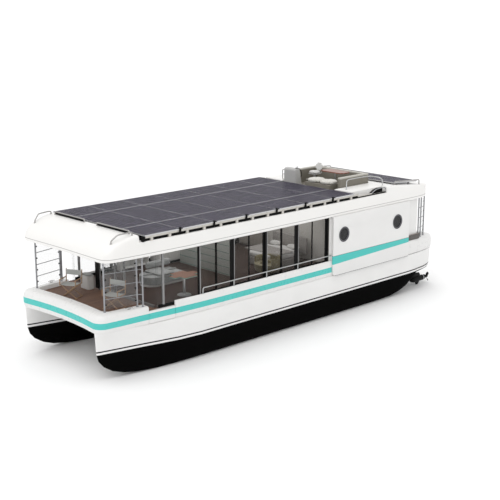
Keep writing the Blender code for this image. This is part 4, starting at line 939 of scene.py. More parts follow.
def panel_line_and_foot_shade(finish, x, y, z):
    """1 on the fine line over the stripe, and on the panel's foot, where the dark is painted shade under the
    lapped edge.
    """
    top = panel_stripe_z[1]
    line = calc(finish, "MULTIPLY", between(finish, z, top, top + 0.016), outside(finish, y))
    return calc(finish, "MAXIMUM", line, calc(finish, "LESS_THAN", z, panel_foot_z))


# The panel's foot is painted dark as the shade under its lapped lower edge.
panel_gelcoat = painted("panel_gelcoat", (gelcoat_white, gelcoat_shade), 1.4,
                        [(panel_stripe, stripe_colour), (panel_line_and_foot_shade, (0.18, 0.18, 0.19))],
                        (8.0, 0.25, 0.4), (60.0, 0.05, 0.002), 0.32, Specular_IOR_Level=0.2)
porthole_x = (-2.39, -5.54)
porthole_z = 3.13
porthole_r = 0.235


def cut_rounds(source, holes):
    """A mesh copy with round holes bored through it."""
    base = plain_object("bored", source)
    tools = []
    for start, end, radius in holes:
        shape = bmesh.new()
        add_tube(shape, [start, end], radius, 64)
        bmesh.ops.recalc_face_normals(shape, faces=shape.faces)
        tools.append(plain_object("bore", mesh_from(shape, "bore")))
        step = base.modifiers.new("bore", "BOOLEAN")
        step.operation = "DIFFERENCE"
        step.solver = "EXACT"
        step.object = tools[-1]
    made = worked_out(base)
    for tool in tools:
        bpy.data.objects.remove(tool)
    return made


ring_metal = metal_finish("porthole_ring", (0.10, 0.10, 0.11), 0.35, 0.8, 60.0)
porthole_glass = glass_finish("porthole_glass", (0.012, 0.012, 0.014), 0.82)
round_ring = repeat_tree("repeat_round_ring", "GeometryNodeMeshCircle",
                         {"Count": "Vertices", "Radius": "Radius"})


def ring_of(name, unit_mesh, count, radius, centre, outwards, finish):
    """Copies of a unit mesh on a circle that faces along outwards, as one piece."""
    mesh = copies(name, round_ring, unit_mesh, Count=count, Radius=radius, Finish=finish)
    turn = Vector((0, 0, 1)).rotation_difference(Vector(outwards))
    for vert in mesh.vertices:
        vert.co = turn @ vert.co + Vector(centre)
    settle(plain_object(name, mesh), "boat")


def screw_head(radius, height):
    """A low round screw head with a socket, standing on its plane."""
    shape = bmesh.new()
    add_turned(shape, ((0.0, 0.0), (0.0, radius), (height * 0.6, radius * 0.95), (height, radius * 0.7),
                       (height, radius * 0.4), (height * 0.4, radius * 0.36), (height * 0.4, 0.0)),
               (0, 0, 0), (0, 0, 1), 10)
    return mesh_from(shape, "screw_head")


face_y = 2.5858
ring_profile = ((-0.045, 0.222), (-0.045, 0.232), (0.0, 0.2345), (0.0, 0.285), (0.005, 0.289),
                (0.008, 0.280), (0.009, 0.255), (0.004, 0.236), (-0.012, 0.224), (-0.045, 0.222))
pane_profile = ((-0.034, 0.0), (-0.034, 0.226), (-0.026, 0.226), (-0.022, 0.0))
for word, side in both_sides:
    node = "side_panel_" + word
    skin, shape = welded(node)
    shape.to_mesh(skin)
    shape.free()
    bored = cut_rounds(skin, [((x, side * 2.30, porthole_z), (x, side * 2.70, porthole_z), porthole_r)
                              for x in porthole_x])
    bored.materials.clear()
    settle(plain_object("aft_side_" + word, eased(bored, 0.012, 3, 40)), "boat", [panel_gelcoat],
           [node])
    for number, x in enumerate(porthole_x, 1):
        shape = bmesh.new()
        centre = (x, side * face_y, porthole_z)
        add_turned(shape, ring_profile, centre, (0, side, 0), 64)
        add_turned(shape, pane_profile, centre, (0, side, 0), 64, 1)
        made_of(shape, "porthole_%s_%d" % (word, number), "boat", [ring_metal, porthole_glass],
                angle=30)
        ring_of("porthole_screws_%s_%d" % (word, number), screw_head(0.008, 0.003), 12, 0.262,
                (x, side * (face_y + 0.0082), porthole_z), (0, side, 0), polished)

# Deck fittings
# Stainless horn cleats bolted to the coaming, and light tubular handrails on turned stanchions
# along the side decks, which run into the fine line on the aft cabin's sides.
handrail_metal = metal_finish("handrail_metal", (0.52, 0.53, 0.53), 0.3, 0.75, 30.0)


def add_cleat(shape, x, y, z, turn):
    """A horn cleat: a foot plate, two legs and a bar with drooping tips."""
    c, s = math.cos(turn), math.sin(turn)

    def spot(u, h):
        return (x + u * c, y + u * s, z + h)

    add_box(shape, (x - 0.06, y - 0.02, z), (x + 0.06, y + 0.02, z + 0.008), 0.003, 0, turn)
    leg = ((0.0, 0.0), (0.0, 0.016), (0.02, 0.010), (0.045, 0.011), (0.045, 0.0))
    for u in (-0.03, 0.03):
        add_turned(shape, leg, spot(u, 0.006), (0, 0, 1), 16)
    horns = ((-0.13, 0.040), (-0.09, 0.054), (-0.03, 0.058), (0.03, 0.058), (0.09, 0.054), (0.13, 0.040))
    add_tube(shape, [spot(u, h) for u, h in horns], 0.011, 12)


shape = bmesh.new()
for x, y, turn in ((7.29, 2.17, -0.08), (-7.90, 1.95, 0.5)):
    for side in (1, -1):
        add_cleat(shape, x, side * y, coaming_z, side * turn)
made_of(shape, "cleats", "boat", [polished])

# The step's body is painted much darker than its tread: besides their own colours, this puts painted shade
# on the sides and painted light on the top.
step_body_shade = painted("step_body_shade", ((0.11, 0.10, 0.095), (0.08, 0.072, 0.068)), 9.0, bump=(160.0, 0.2, 0.001),
                    roughness=0.6)
step_lit_tread = painted("step_lit_tread", ((0.30, 0.25, 0.23), (0.25, 0.21, 0.19)), 9.0, bump=(160.0, 0.2, 0.001),
                     roughness=0.7)
for word, side in both_sides:
    shape = bmesh.new()
    side_box(shape, side, (-7.08, 2.440, coaming_z), (-6.33, 2.515, 2.400), 0.012)
    side_box(shape, side, (-7.07, 2.442, 2.4003), (-6.34, 2.513, 2.412), 0.004, 1)
    made_of(shape, "boarding_step_" + word, "boat", [step_body_shade, step_lit_tread])

rail_y = 2.470
rail_top_z = 2.40
rail_aft_x = -1.7995
stanchion_x = (4.48, 3.09, 1.54, -0.03)
stanchion_foot = ((0.0, 0.0), (0.0, 0.034), (0.006, 0.034), (0.014, 0.022), (0.014, 0.0))
rail_flange = ((0.0, 0.0), (0.0, 0.030), (0.010, 0.030), (0.016, 0.020), (0.016, 0.0))
for word, side in both_sides:
    y = side * rail_y
    shape = bmesh.new()
    line = [(stanchion_x[0], y, coaming_z), (stanchion_x[0], y, rail_top_z), (rail_aft_x, y, rail_top_z)]
    add_tube(shape, rounded(line, 0.07, 6), 0.018, 16)
    for x in stanchion_x[1:]:
        add_tube(shape, [(x, y, coaming_z), (x, y, rail_top_z)], 0.014, 14)
    for x in stanchion_x:
        add_turned(shape, stanchion_foot, (x, y, coaming_z), (0, 0, 1), 20)
    add_turned(shape, rail_flange, (rail_aft_x, y, rail_top_z), (1, 0, 0), 20)
    made_of(shape, "side_handrail_" + word, "boat", [handrail_metal], ["handrail_" + word])

# Flybridge liner
# A moulded liner in beige-grey textured plastic makes the sole, the coaming with its paler rim and
# the base of the bench.
liner_rim_z = 4.90


def liner_rim(finish, x, y, z):
    """1 on the coaming's rim."""
    return calc(finish, "GREATER_THAN", z, liner_rim_z)


liner = painted("liner_moulding", ((0.225, 0.208, 0.172), (0.185, 0.170, 0.140)), 3.0,
                [(liner_rim, (0.50, 0.485, 0.44))], (11.0, 0.5, 0.7), (260.0, 2.0, 0.25, 0.0012), 0.6)
dressed("fly_coaming", "fly_liner", liner, ease=0.022)

# Flybridge bench
# Two loose cushions in off-white outdoor cloth lie on the bench base, each with piping sewn into
# its side seam.
def cloth_finish(name, colour, shade, pitch=0.0035, sheen=0.25):
    """Woven cloth: crossed threads, a soft mottle and a little sheen."""
    finish = new_finish(name, roughness=0.85, Sheen_Weight=sheen, Sheen_Roughness=0.5)
    spot, x, y, z = place_of(finish)
    turns = 2 * math.pi / pitch
    warp = calc(finish, "SINE", calc(finish, "MULTIPLY", calc(finish, "ADD", x, z), turns))
    weft = calc(finish, "SINE", calc(finish, "MULTIPLY", calc(finish, "ADD", y, z), turns))
    thread = calc(finish, "MULTIPLY", warp, weft)
    soft = mottle(finish, spot, 5.0)
    share = calc(finish, "MULTIPLY_ADD", thread, 0.12, soft)
    drive(finish, "Base Color", mix_colour(finish, share, colour, shade))
    gloss_variation(finish, soft, 0.78, 0.92)
    grain(finish, calc(finish, "MULTIPLY_ADD", thread, 0.35, soft), 0.3, 0.0012)
    return finish


def cushion_block(low, high, corner, edge):
    """A closed block with round corners in plan and softer top and bottom edges."""
    low, high = Vector(low), Vector(high)
    shape = bmesh.new()
    verts = bmesh.ops.create_cube(shape, size=1.0)["verts"]
    centre, size = (low + high) / 2, high - low
    for vert in verts:
        vert.co = centre + Vector([vert.co[i] * size[i] for i in range(3)])
    upright = [line for line in shape.edges if abs(line.verts[0].co.z - line.verts[1].co.z) > size.z / 2]
    bmesh.ops.bevel(shape, geom=upright, offset=corner, segments=6, affect="EDGES")
    around = [line for line in shape.edges if line.calc_face_angle(0) > 1.2]
    bmesh.ops.bevel(shape, geom=around, offset=edge, segments=3, affect="EDGES")
    return shape


press_frames = 20


def pressed_out(cover):
    """A cover's mesh after a cloth simulation with pressure inside it."""
    cloth = cover.modifiers.new("stuffing", "CLOTH")
    cloth.settings.use_pressure = True
    cloth.settings.uniform_pressure_force = 4.0
    cloth.settings.effector_weights.gravity = 0.0
    cloth.settings.quality = 5
    for step in range(press_frames):
        bpy.context.scene.frame_set(step + 1)
    pressed = bpy.data.meshes.new_from_object(cover.evaluated_get(bpy.context.evaluated_depsgraph_get()))
    bpy.context.scene.frame_set(1)
    cover.modifiers.remove(cloth)
    return pressed


def swollen(mesh, voxel, cap, low, high):
    """The mesh after its stuffing has pressed the cover outwards, held between two corners."""
    block = plain_object("block", mesh)
    remesh = block.modifiers.new("even_faces", "REMESH")
    remesh.mode = "VOXEL"
    remesh.voxel_size = voxel
    even = worked_out(block)
    cover = plain_object("cover", even)
    start = [vert.co.copy() for vert in even.vertices]
    pressed = pressed_out(cover)
    for vert, origin in zip(pressed.vertices, start):
        move = vert.co - origin
        if move.length > cap:
            move = move.normalized() * cap
        place = origin + move
        vert.co = Vector([min(max(place[i], low[i]), high[i]) for i in range(3)])
    cover.data = pressed
    fine = cover.modifiers.new("fine", "SUBSURF")
    fine.levels = 1
    fine.render_levels = 1
    return worked_out(cover)


def stuffed(name, low, high, corner, voxel, swell, finish, stands_for=(), channels=(), edge=0.03,
            move=None):
    """A padded piece that fills the space between two corners, with sewn channels across it."""
    low, high = Vector(low), Vector(high)
    tight = Vector((swell, swell, swell * 0.9))
    block = cushion_block(low + tight, high - tight, corner, edge)
    made = swollen(mesh_from(block, name), voxel, swell, low, high)
    for axis, at in channels:
        for vert in made.vertices:
            off = vert.co[axis] - at
            if abs(off) < 0.03 and vert.co.z > low.z + 0.01:
                vert.co.z -= 0.011 * math.exp(-(off / 0.010) ** 2)
    if move:
        for vert in made.vertices:
            vert.co = move(vert.co)
    piece = settle(plain_object(name, made), "boat", [finish], stands_for, 180.0)


def add_piping(shape, low, high, corner, z):
    """A cord sewn round a cushion at one height."""
    path = []
    for x, y, start in ((high[0] - corner, high[1] - corner, 0), (low[0] + corner, high[1] - corner, 90),
                        (low[0] + corner, low[1] + corner, 180), (high[0] - corner, low[1] + corner, 270)):
        for k in range(7):
            angle = math.radians(start + 15 * k)
            path.append((x + corner * math.cos(angle), y + corner * math.sin(angle), z))
    add_tube(shape, path, 0.005, 8, closed=True)


bench_cloth = cloth_finish("bench_cloth", (0.66, 0.645, 0.60), (0.58, 0.565, 0.52))
low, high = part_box("fly_cushion")
split_y = (low.y + high.y) / 2
for number, (y0, y1) in enumerate(((low.y, split_y - 0.002), (split_y + 0.002, high.y)), 1):
    stuffed("bench_cushion_%d" % number, (low.x, y0, low.z), (high.x, y1, high.z), 0.12, 0.013, 0.008,
            bench_cloth, stands_for=["fly_cushion"], edge=0.028)
    shape = bmesh.new()
    add_piping(shape, (low.x + 0.004, y0 + 0.004), (high.x - 0.004, y1 - 0.004), 0.095,
               (low.z + high.z) / 2 + 0.02)
    made_of(shape, "bench_piping_%d" % number, "boat", [bench_cloth])


# Flybridge table
# A varnished red-brown board with round corners and a small raised edge stands on a steel leg.
def wood_finish(name, colour, dark, axis, roughness=0.3, coat=0.4):
    """Planed and varnished wood with its grain along an axis."""
    finish = new_finish(name, roughness=roughness, Coat_Weight=coat, Coat_Roughness=0.15)
    spot = place_of(finish)[0]
    reach = [34.0, 34.0, 34.0]
    reach[axis] = 2.2
    stretched = add_node(finish, "ShaderNodeVectorMath", {0: spot, 1: tuple(reach)},
                         operation="MULTIPLY").outputs[0]
    fibre = mottle(finish, stretched, 1.6, 6.0)
    fine = mottle(finish, stretched, 9.0, 2.0)
    share = calc(finish, "MULTIPLY_ADD", fine, 0.25, calc(finish, "MULTIPLY", fibre, 0.9))
    drive(finish, "Base Color", mix_colour(finish, share, colour, dark))
    gloss_variation(finish, fibre, roughness * 0.8, roughness * 1.4)
    grain(finish, share, 0.12, 0.001)
    return finish


def add_board(shape, low, high, corner, ease, finish=0):
    """A board with round corners in plan and eased edges."""
    block = cushion_block(low, high, corner, ease)
    for face in block.faces:
        face.material_index = finish
    scratch = mesh_from(block, "board")
    shape.from_mesh(scratch)
    bpy.data.meshes.remove(scratch)


red_wood = wood_finish("red_wood", (0.30, 0.105, 0.06), (0.19, 0.06, 0.035), 1)
steel = metal_finish("steel_leg", (0.55, 0.55, 0.56), 0.3, 0.9)
low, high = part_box("fly_table")
table_x, table_y = (low.x + high.x) / 2, (low.y + high.y) / 2
board_low_z = high.z - 0.040
leg_top = board_low_z - low.z
shape = bmesh.new()
add_board(shape, (low.x, low.y, board_low_z), high, 0.08, 0.008)
add_turned(shape, ((0.0, 0.0), (0.0, 0.15), (0.008, 0.15), (0.018, 0.10), (0.024, 0.045), (0.05, 0.04),
                   (leg_top - 0.020, 0.04), (leg_top - 0.020, 0.11), (leg_top, 0.12), (leg_top, 0.0)),
           (table_x, table_y, low.z), (0, 0, 1), 32, 1)
made_of(shape, "fly_table_board", "boat", [red_wood, steel], ["fly_table"])

# Helm
# A light grey console leans towards the seat, with two dials and a lever. The black wheel turns on
# its face, and the swivel chair has a white squab and back.
console_grey = painted("console_grey", ((0.50, 0.495, 0.485), (0.44, 0.435, 0.425)), 4.0, (),
                       (14.0, 0.35, 0.5), (220.0, 0.12, 0.001), 0.42, Coat_Weight=0.1)


def add_prism(shape, outline, y0, y1, ease=0.0, finish=0, segments=3):
    """An outline in the fore and aft plane given its width, with eased edges."""
    lower = [shape.verts.new((x, y0, z)) for x, z in outline]
    upper = [shape.verts.new((x, y1, z)) for x, z in outline]
    faces = [shape.faces.new(lower), shape.faces.new(list(reversed(upper)))]
    for i in range(len(outline)):
        j = (i + 1) % len(outline)
        faces.append(shape.faces.new((lower[j], lower[i], upper[i], upper[j])))
    for face in faces:
        face.material_index = finish
    if ease:
        edges = list({edge for face in faces for edge in face.edges})
        bmesh.ops.bevel(shape, geom=edges, offset=ease, segments=segments, affect="EDGES")


lean = math.radians(12)
console_foot = Vector((-3.48, 0, 4.3803))
console_top_z = 5.10
console_front_x = -3.10
loop_x = -3.20
loop_y = (-1.23, -1.42)
loop_z = (4.60, 4.98)
loop_flange = ((0.0, 0.0), (0.0, 0.034), (0.006, 0.034), (0.010, 0.024), (0.010, 0.0))
face_back = console_foot.x + (console_top_z - console_foot.z) * math.tan(lean)
shape = bmesh.new()
add_prism(shape, [(console_foot.x, console_foot.z), (console_front_x, console_foot.z),
                  (console_front_x, 5.05), (-3.15, console_top_z), (face_back, console_top_z)], -1.25,
          -0.60, 0.022)
loop = [(loop_x, loop_y[0], loop_z[0]), (loop_x, loop_y[1], loop_z[0]), (loop_x, loop_y[1], loop_z[1]),
        (loop_x, loop_y[0], loop_z[1])]
add_tube(shape, rounded(loop, 0.05, 5), 0.015, 14, 1)
for z in loop_z:
    add_turned(shape, loop_flange, (loop_x, -1.2502, z), (0, -1, 0), 20, 1)
made_of(shape, "console", "boat", [console_grey, polished], ["helm_console"])

face_out = Vector((-math.cos(lean), 0, math.sin(lean)))
dial_black = new_finish("dial_black", (0.02, 0.02, 0.022), 0.35)
gloss_variation(dial_black, mottle(dial_black, place_of(dial_black)[0], 40.0), 0.25, 0.45)


def on_face(y, z, out=0.0):
    """A point on the console's aft face."""
    x = console_foot.x + (z - console_foot.z) * math.tan(lean)
    return Vector((x, y, z)) + face_out * out


plate_thick = 0.006
dial_y = (-1.08, -0.98)
dial_z = 4.98
dial = ((0.0, 0.0), (0.0, 0.036), (0.008, 0.036), (0.010, 0.032), (0.005, 0.030), (0.005, 0.0))
switch = ((0.0, 0.0), (0.0, 0.009), (0.004, 0.009), (0.004, 0.004), (0.012, 0.004), (0.012, 0.0))
shape = bmesh.new()
corners = [shape.verts.new(on_face(y, z, out)) for out in (0.0, plate_thick)
           for y, z in ((-1.16, 5.03), (-0.66, 5.03), (-0.66, 4.93), (-1.16, 4.93))]
for ring in ((0, 1, 2, 3), (7, 6, 5, 4), (0, 4, 5, 1), (1, 5, 6, 2), (2, 6, 7, 3), (3, 7, 4, 0)):
    shape.faces.new([corners[i] for i in ring])
for y in dial_y:
    add_turned(shape, dial, on_face(y, dial_z, plate_thick), face_out, 32, 1)
for y in (-0.88, -0.84, -0.80, -0.76):
    add_turned(shape, switch, on_face(y, dial_z, plate_thick), face_out, 14, 1)
made_of(shape, "dial_plate", "boat", [dial_black, polished])
for number, y in enumerate(dial_y, 1):
    tick = bmesh.new()
    add_box(tick, (-0.002, -0.002, 0.0), (0.002, 0.002, 0.0006), 0.0005)
    ring_of("dial_ticks_%d" % number, mesh_from(tick, "tick"), 12, 0.024, on_face(y, dial_z, 0.0112),
            face_out, bench_cloth)
shape = bmesh.new()
lever_foot = Vector((-3.24, -0.68, console_top_z))
add_box(shape, lever_foot + Vector((-0.06, -0.03, 0.0002)), lever_foot + Vector((0.06, 0.03, 0.03)), 0.008)
add_tube(shape, [lever_foot + Vector((0, 0, 0.02)), lever_foot + Vector((-0.02, 0, 0.075))], 0.008, 12, 1,
         end_radius=0.006)
add_turned(shape, ((-0.018, 0.0), (-0.014, 0.010), (0.0, 0.016), (0.014, 0.010), (0.018, 0.0)),
           lever_foot + Vector((-0.022, 0, 0.086)), (0, 1, 0), 16)
made_of(shape, "speed_lever", "boat", [dial_black, polished])

wheel_centre = Vector((-3.495414, -0.86, 4.884949))
wheel_turn = Vector((0, 0, 1)).rotation_difference(face_out)
shape = bmesh.new()
wheel_r = 0.20
rim = circle_of(wheel_centre, wheel_turn @ Vector((1, 0, 0)), wheel_turn @ Vector((0, 1, 0)), wheel_r, 64)
add_tube(shape, rim, 0.0138, 14, 0, closed=True)
for degrees in (30, 150, 270):
    a = math.radians(degrees)
    reach = [wheel_centre + wheel_turn @ Vector((r * math.cos(a), r * math.sin(a), h)) for r, h in
             ((0.02, -0.012), (0.08, -0.010), (0.15, -0.002), (0.196, 0.0))]
    add_tube(shape, reach, 0.0095, 12, 1, end_radius=0.0075)
hub_foot = wheel_centre - face_out * 0.1195
add_turned(shape, ((0.0, 0.0), (0.0, 0.030), (0.02, 0.030), (0.085, 0.022), (0.10, 0.034), (0.128, 0.034),
                   (0.134, 0.026), (0.134, 0.0)), hub_foot, face_out, 32, 1)
made_of(shape, "wheel", "steering_wheel", [frame_black, polished], ["steering_wheel"])

seat_low, seat_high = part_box("helm_seat")
seat_x, seat_y = seat_high.x - 0.22, (seat_low.y + seat_high.y) / 2
squab_foot_z = 4.785
seat_white = cloth_finish("seat_white", (0.66, 0.655, 0.64), (0.60, 0.595, 0.58), 0.003)
shape = bmesh.new()
add_turned(shape, ((0.0, 0.0), (0.0, 0.16), (0.010, 0.16), (0.022, 0.12), (0.03, 0.062), (0.06, 0.055),
                   (0.33, 0.055), (0.345, 0.09), (0.365, 0.14), (0.378, 0.14), (0.378, 0.0)),
           (seat_x, seat_y, seat_low.z), (0, 0, 1), 40)
add_board(shape, (seat_x - 0.21, seat_y - 0.21, 4.7585), (seat_x + 0.21, seat_y + 0.21, 4.7845), 0.07,
          0.008, 1)
made_of(shape, "helm_pedestal", "boat", [steel, console_grey])
stuffed("helm_squab", (seat_x - 0.22, seat_y - 0.22, squab_foot_z), (seat_x + 0.22, seat_y + 0.22, 4.88),
        0.08, 0.010, 0.010, seat_white, stands_for=["helm_seat"], edge=0.028)


def lean_back(point):
    """The chair's back, turned up from flat so that it leans aft."""
    up, out = point.x - seat_x, point.z - squab_foot_z
    return Vector((seat_x - 0.205 - out * 0.98 - up * 0.175, point.y, 4.84 + up * 0.985))


stuffed("helm_back", (seat_x, seat_y - 0.20, squab_foot_z), (seat_x + 0.375, seat_y + 0.20, 4.835), 0.07,
        0.009, 0.008, seat_white, edge=0.018, move=lean_back)
shape = bmesh.new()
for y in (-0.13, 0.13):
    strap = [(seat_x - 0.16, seat_y + y, 4.772), (seat_x - 0.25, seat_y + y, 4.775),
             (seat_x - 0.272, seat_y + y, 4.83), (seat_x - 0.292, seat_y + y, 5.06)]
    add_tube(shape, rounded(strap, 0.03), 0.010, 12)
made_of(shape, "helm_back_tubes", "boat", [steel])

# Flybridge rail and roof edge trims
# A bent stainless rail guards the side deck on the port side. Along both roof edges a capping
# leads aft to a low arched hoop over a dark step.
side_deck_z = 4.5703
shape = bmesh.new()
loop = [(-3.36, 1.80, side_deck_z), (-3.36, 1.80, 4.68), (-3.58, 1.62, 4.85), (-3.74, 1.57, 4.88),
        (-4.82, 1.57, 4.88), (-4.94, 1.66, 4.88), (-4.98, 2.06, 4.88), (-5.06, 2.16, 4.80),
        (-5.06, 2.16, side_deck_z)]
add_tube(shape, rounded(loop, 0.07, 4), 0.019, 14)
for x, y in ((-3.36, 1.80), (-5.06, 2.16)):
    add_turned(shape, ((0.0, 0.0), (0.0, 0.038), (0.006, 0.038), (0.012, 0.028), (0.012, 0.0)),
               (x, y, side_deck_z), (0, 0, 1), 20)
made_of(shape, "side_deck_rail", "boat", [handrail_metal], ["fly_rail"])
trim_y = 2.45
hoop_points = ((-4.04, 4.40), (-4.16, 4.47), (-4.34, 4.545), (-4.56, 4.566), (-4.84, 4.566), (-4.89, 4.52),
               (-4.89, 4.38))
step_outline = ((-4.885, 4.3503), (-4.10, 4.3503), (-4.18, 4.44), (-4.34, 4.52), (-4.52, 4.548),
                (-4.885, 4.548))
for word, side in both_sides:
    shape = bmesh.new()
    side_box(shape, side, (-4.04, 2.455, 4.402), (-3.252, 2.492, 4.440), 0.006)
    side_box(shape, side, (-4.88, 2.40, 4.3503), (-3.26, 2.480, 4.403), 0.004, 1)
    y0, y1 = sorted((side * 2.275, side * 2.300))
    add_prism(shape, step_outline, y0, y1, 0.003, 1, 1)
    add_tube(shape, rounded([(x, side * trim_y, z) for x, z in hoop_points], 0.05, 4), 0.017, 12, 2)
    made_of(shape, "roof_edge_trim_" + word, "boat", [rail_cream, clamp_black, post_metal])

# Drive pods
# Each electric pod is a black painted torpedo on a faired strut that steers under the hull. A pale
# zinc ring sits before its three-bladed propeller.
pod_black = new_finish("pod_paint", (0.003, 0.003, 0.003), 0.5, Specular_IOR_Level=0.12)
spot = place_of(pod_black)[0]
gloss_variation(pod_black, mottle(pod_black, spot, 18.0), 0.35, 0.6)
grain(pod_black, mottle(pod_black, spot, 150.0), 0.12, 0.001)
zinc = metal_finish("zinc", (0.42, 0.43, 0.44), 0.55, 0.8, 80.0)
pod_x = -7.62
pod_z = 0.27
pod_nose_x = -7.30
zinc_x = -8.08
hub_x = -8.2903
blade_x = -8.39
aft = (-1, 0, 0)
pod_profile = [(0.0, 0.0)] + [(0.24 * (1 - math.cos(a)), 0.115 * math.sin(a)) for a in
                              (math.pi / 2 * k / 10 for k in range(1, 11))]
pod_profile += [(0.76, 0.115), (0.90, 0.098), (0.99, 0.066), (0.99, 0.0)]
zinc_profile = ((0.0, 0.0), (0.0, 0.112), (0.01, 0.117), (0.05, 0.110), (0.06, 0.100), (0.06, 0.0))
hub_profile = ((0.0, 0.0), (0.0, 0.060), (0.10, 0.058), (0.15, 0.048), (0.19, 0.028), (0.2097, 0.0))


def bridge(shape, rings, finish=0):
    """Faces between closed rings of points, and over the first and last of them."""
    made = [shape.faces.new(list(reversed(rings[0]))), shape.faces.new(rings[-1])]
    for lower, upper in zip(rings, rings[1:]):
        for i in range(len(lower)):
            j = (i + 1) % len(lower)
            made.append(shape.faces.new((lower[i], lower[j], upper[j], upper[i])))
    for face in made:
        face.material_index = finish


def add_fairing(shape, y, stations):
    """A strut with a wing section: stations are height, front, aft and half thickness."""
    rings = []
    for z, front, back, half in stations:
        ring = []
        for k in range(24):
            a = 2 * math.pi * k / 24
            along = 0.5 - 0.5 * math.cos(a)
            thick = half * (2.2 * math.sqrt(along) * (1 - along) ** 0.9 + 0.02 * (1 - along))
            ring.append(shape.verts.new((front + (back - front) * along,
                                         y + (thick if a < math.pi else -thick), z)))
        rings.append(ring)
    bridge(shape, rings)


def add_blade(shape, y, lie):
    """A twisted propeller blade that stands out from the hub at an angle."""
    rings = []
    for n in range(9):
        t = n / 8
        radius = 0.035 + 0.175 * t
        chord = 0.040 + 0.075 * math.sin(math.pi * min(1.0, t * 0.62 + 0.18)) * (1 - t ** 6 * 0.75)
        pitch = math.radians(58 - 34 * t)
        thick = 0.011 * (1 - t) + 0.002
        ring = []
        for m in range(12):
            a = 2 * math.pi * m / 12
            v, u = chord / 2 * math.cos(a) - 0.018 * t * t, thick / 2 * math.sin(a)
            u, v = u * math.cos(pitch) - v * math.sin(pitch), u * math.sin(pitch) + v * math.cos(pitch)
            v, w = v * math.cos(lie) - radius * math.sin(lie), v * math.sin(lie) + radius * math.cos(lie)
            ring.append(shape.verts.new((blade_x + u, y + v, pod_z + w)))
        rings.append(ring)
    bridge(shape, rings)


for word, side in both_sides:
    y = side * 1.96
    shape = bmesh.new()
    add_turned(shape, pod_profile, (pod_nose_x, y, pod_z), aft, 48)
    add_turned(shape, zinc_profile, (zinc_x, y, pod_z), aft, 48, 1)
    add_fairing(shape, y, ((0.30, -7.40, -7.95, 0.036), (0.42, -7.395, -7.97, 0.035),
                           (0.52, -7.47, -7.90, 0.035), (0.5396, -7.49, -7.80, 0.035)))
    add_fairing(shape, y, ((0.03, -7.70, -7.84, 0.012), (0.12, -7.64, -7.92, 0.015),
                           (0.20, -7.58, -7.97, 0.015)))
    add_tube(shape, [(pod_x, y, 0.45), (pod_x, y, 0.69)], 0.0249, 32)
    made_of(shape, "drive_pod_" + word, "pod_" + word, [pod_black, zinc], ["pod_" + word], 40.0)
    shape = bmesh.new()
    add_turned(shape, hub_profile, (hub_x, y, pod_z), aft, 40)
    for k in range(3):
        add_blade(shape, y, math.radians(90 + 120 * k))
    made_of(shape, "propeller_blades_" + word, "propeller_" + word, [pod_black],
            ["propeller_" + word], 40.0)

# Saloon furniture
# A lounge bench with a round front end and grey pads, a pedestal table with a pale green edge, a
# galley with white doors and worktop, open shelves and a panelled divider stand on the cabin floor.
cabin_grey = cloth_finish("cabin_grey", (0.30, 0.305, 0.30), (0.23, 0.235, 0.23), 0.004)
carcass = painted("carcass_white", ((0.70, 0.69, 0.67), (0.64, 0.63, 0.61)), 3.0, (), (10.0, 0.38, 0.52),
                  roughness=0.45)
edge_green = painted("edge_green", ((0.28, 0.46, 0.40), (0.22, 0.38, 0.33)), 12.0)
low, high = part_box("lounge_bench")
round_r = (high.y - low.y) / 2
middle_y = (low.y + high.y) / 2
lounge = [(high.x - round_r + (round_r - 0.03) * math.cos(a), middle_y + (round_r - 0.03) * math.sin(a))
          for a in (math.radians(-90 + 10 * k) for k in range(19))]
lounge += [(low.x + 0.02, high.y - 0.03), (low.x + 0.02, low.y + 0.03)]
shape = bmesh.new()
for z0, z1, narrow, paint in ((low.z, 2.14, 0.9, 1), (2.14, 2.40, 1.0, 0)):
    bridge(shape, [[shape.verts.new((x, middle_y + (y - middle_y) * narrow, z)) for x, y in lounge]
                   for z in (z0, z1)], paint)
made_of(shape, "lounge_base", "boat", [cabin_grey, carcass])
lounge_seat_z = 2.50
stuffed("lounge_pad", (low.x, low.y, 2.402), (high.x, high.y, lounge_seat_z), round_r - 0.06, 0.022, 0.018,
        cabin_grey, stands_for=["lounge_bench"], edge=0.04, channels=((0, 4.05), (0, 4.60)))
stuffed("lounge_back", (low.x + 0.01, low.y + 0.01, lounge_seat_z + 0.001),
        (high.x - round_r, low.y + 0.19, high.z), 0.05, 0.018, 0.014, cabin_grey, edge=0.03,
        channels=((0, 4.05),))

low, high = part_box("saloon_table")
x, y = (low.x + high.x) / 2, (low.y + high.y) / 2
leg_top = high.z - 0.041 - low.z
shape = bmesh.new()
add_board(shape, (low.x, low.y, high.z - 0.012), high, 0.24, 0.004)
add_board(shape, (low.x + 0.004, low.y + 0.004, high.z - 0.040),
          (high.x - 0.004, high.y - 0.004, high.z - 0.0125), 0.24, 0.004, 2)
add_turned(shape, ((0.0, 0.0), (0.0, 0.24), (0.010, 0.24), (0.024, 0.12), (0.036, 0.05), (0.62, 0.045),
                   (leg_top, 0.11), (leg_top, 0.0)), (x, y, low.z), (0, 0, 1), 36, 1)
saloon_wood = wood_finish("saloon_wood", (0.34, 0.17, 0.11), (0.24, 0.11, 0.07), 0)
made_of(shape, "saloon_table_board", "boat", [saloon_wood, steel, edge_green],
        ["saloon_table"])

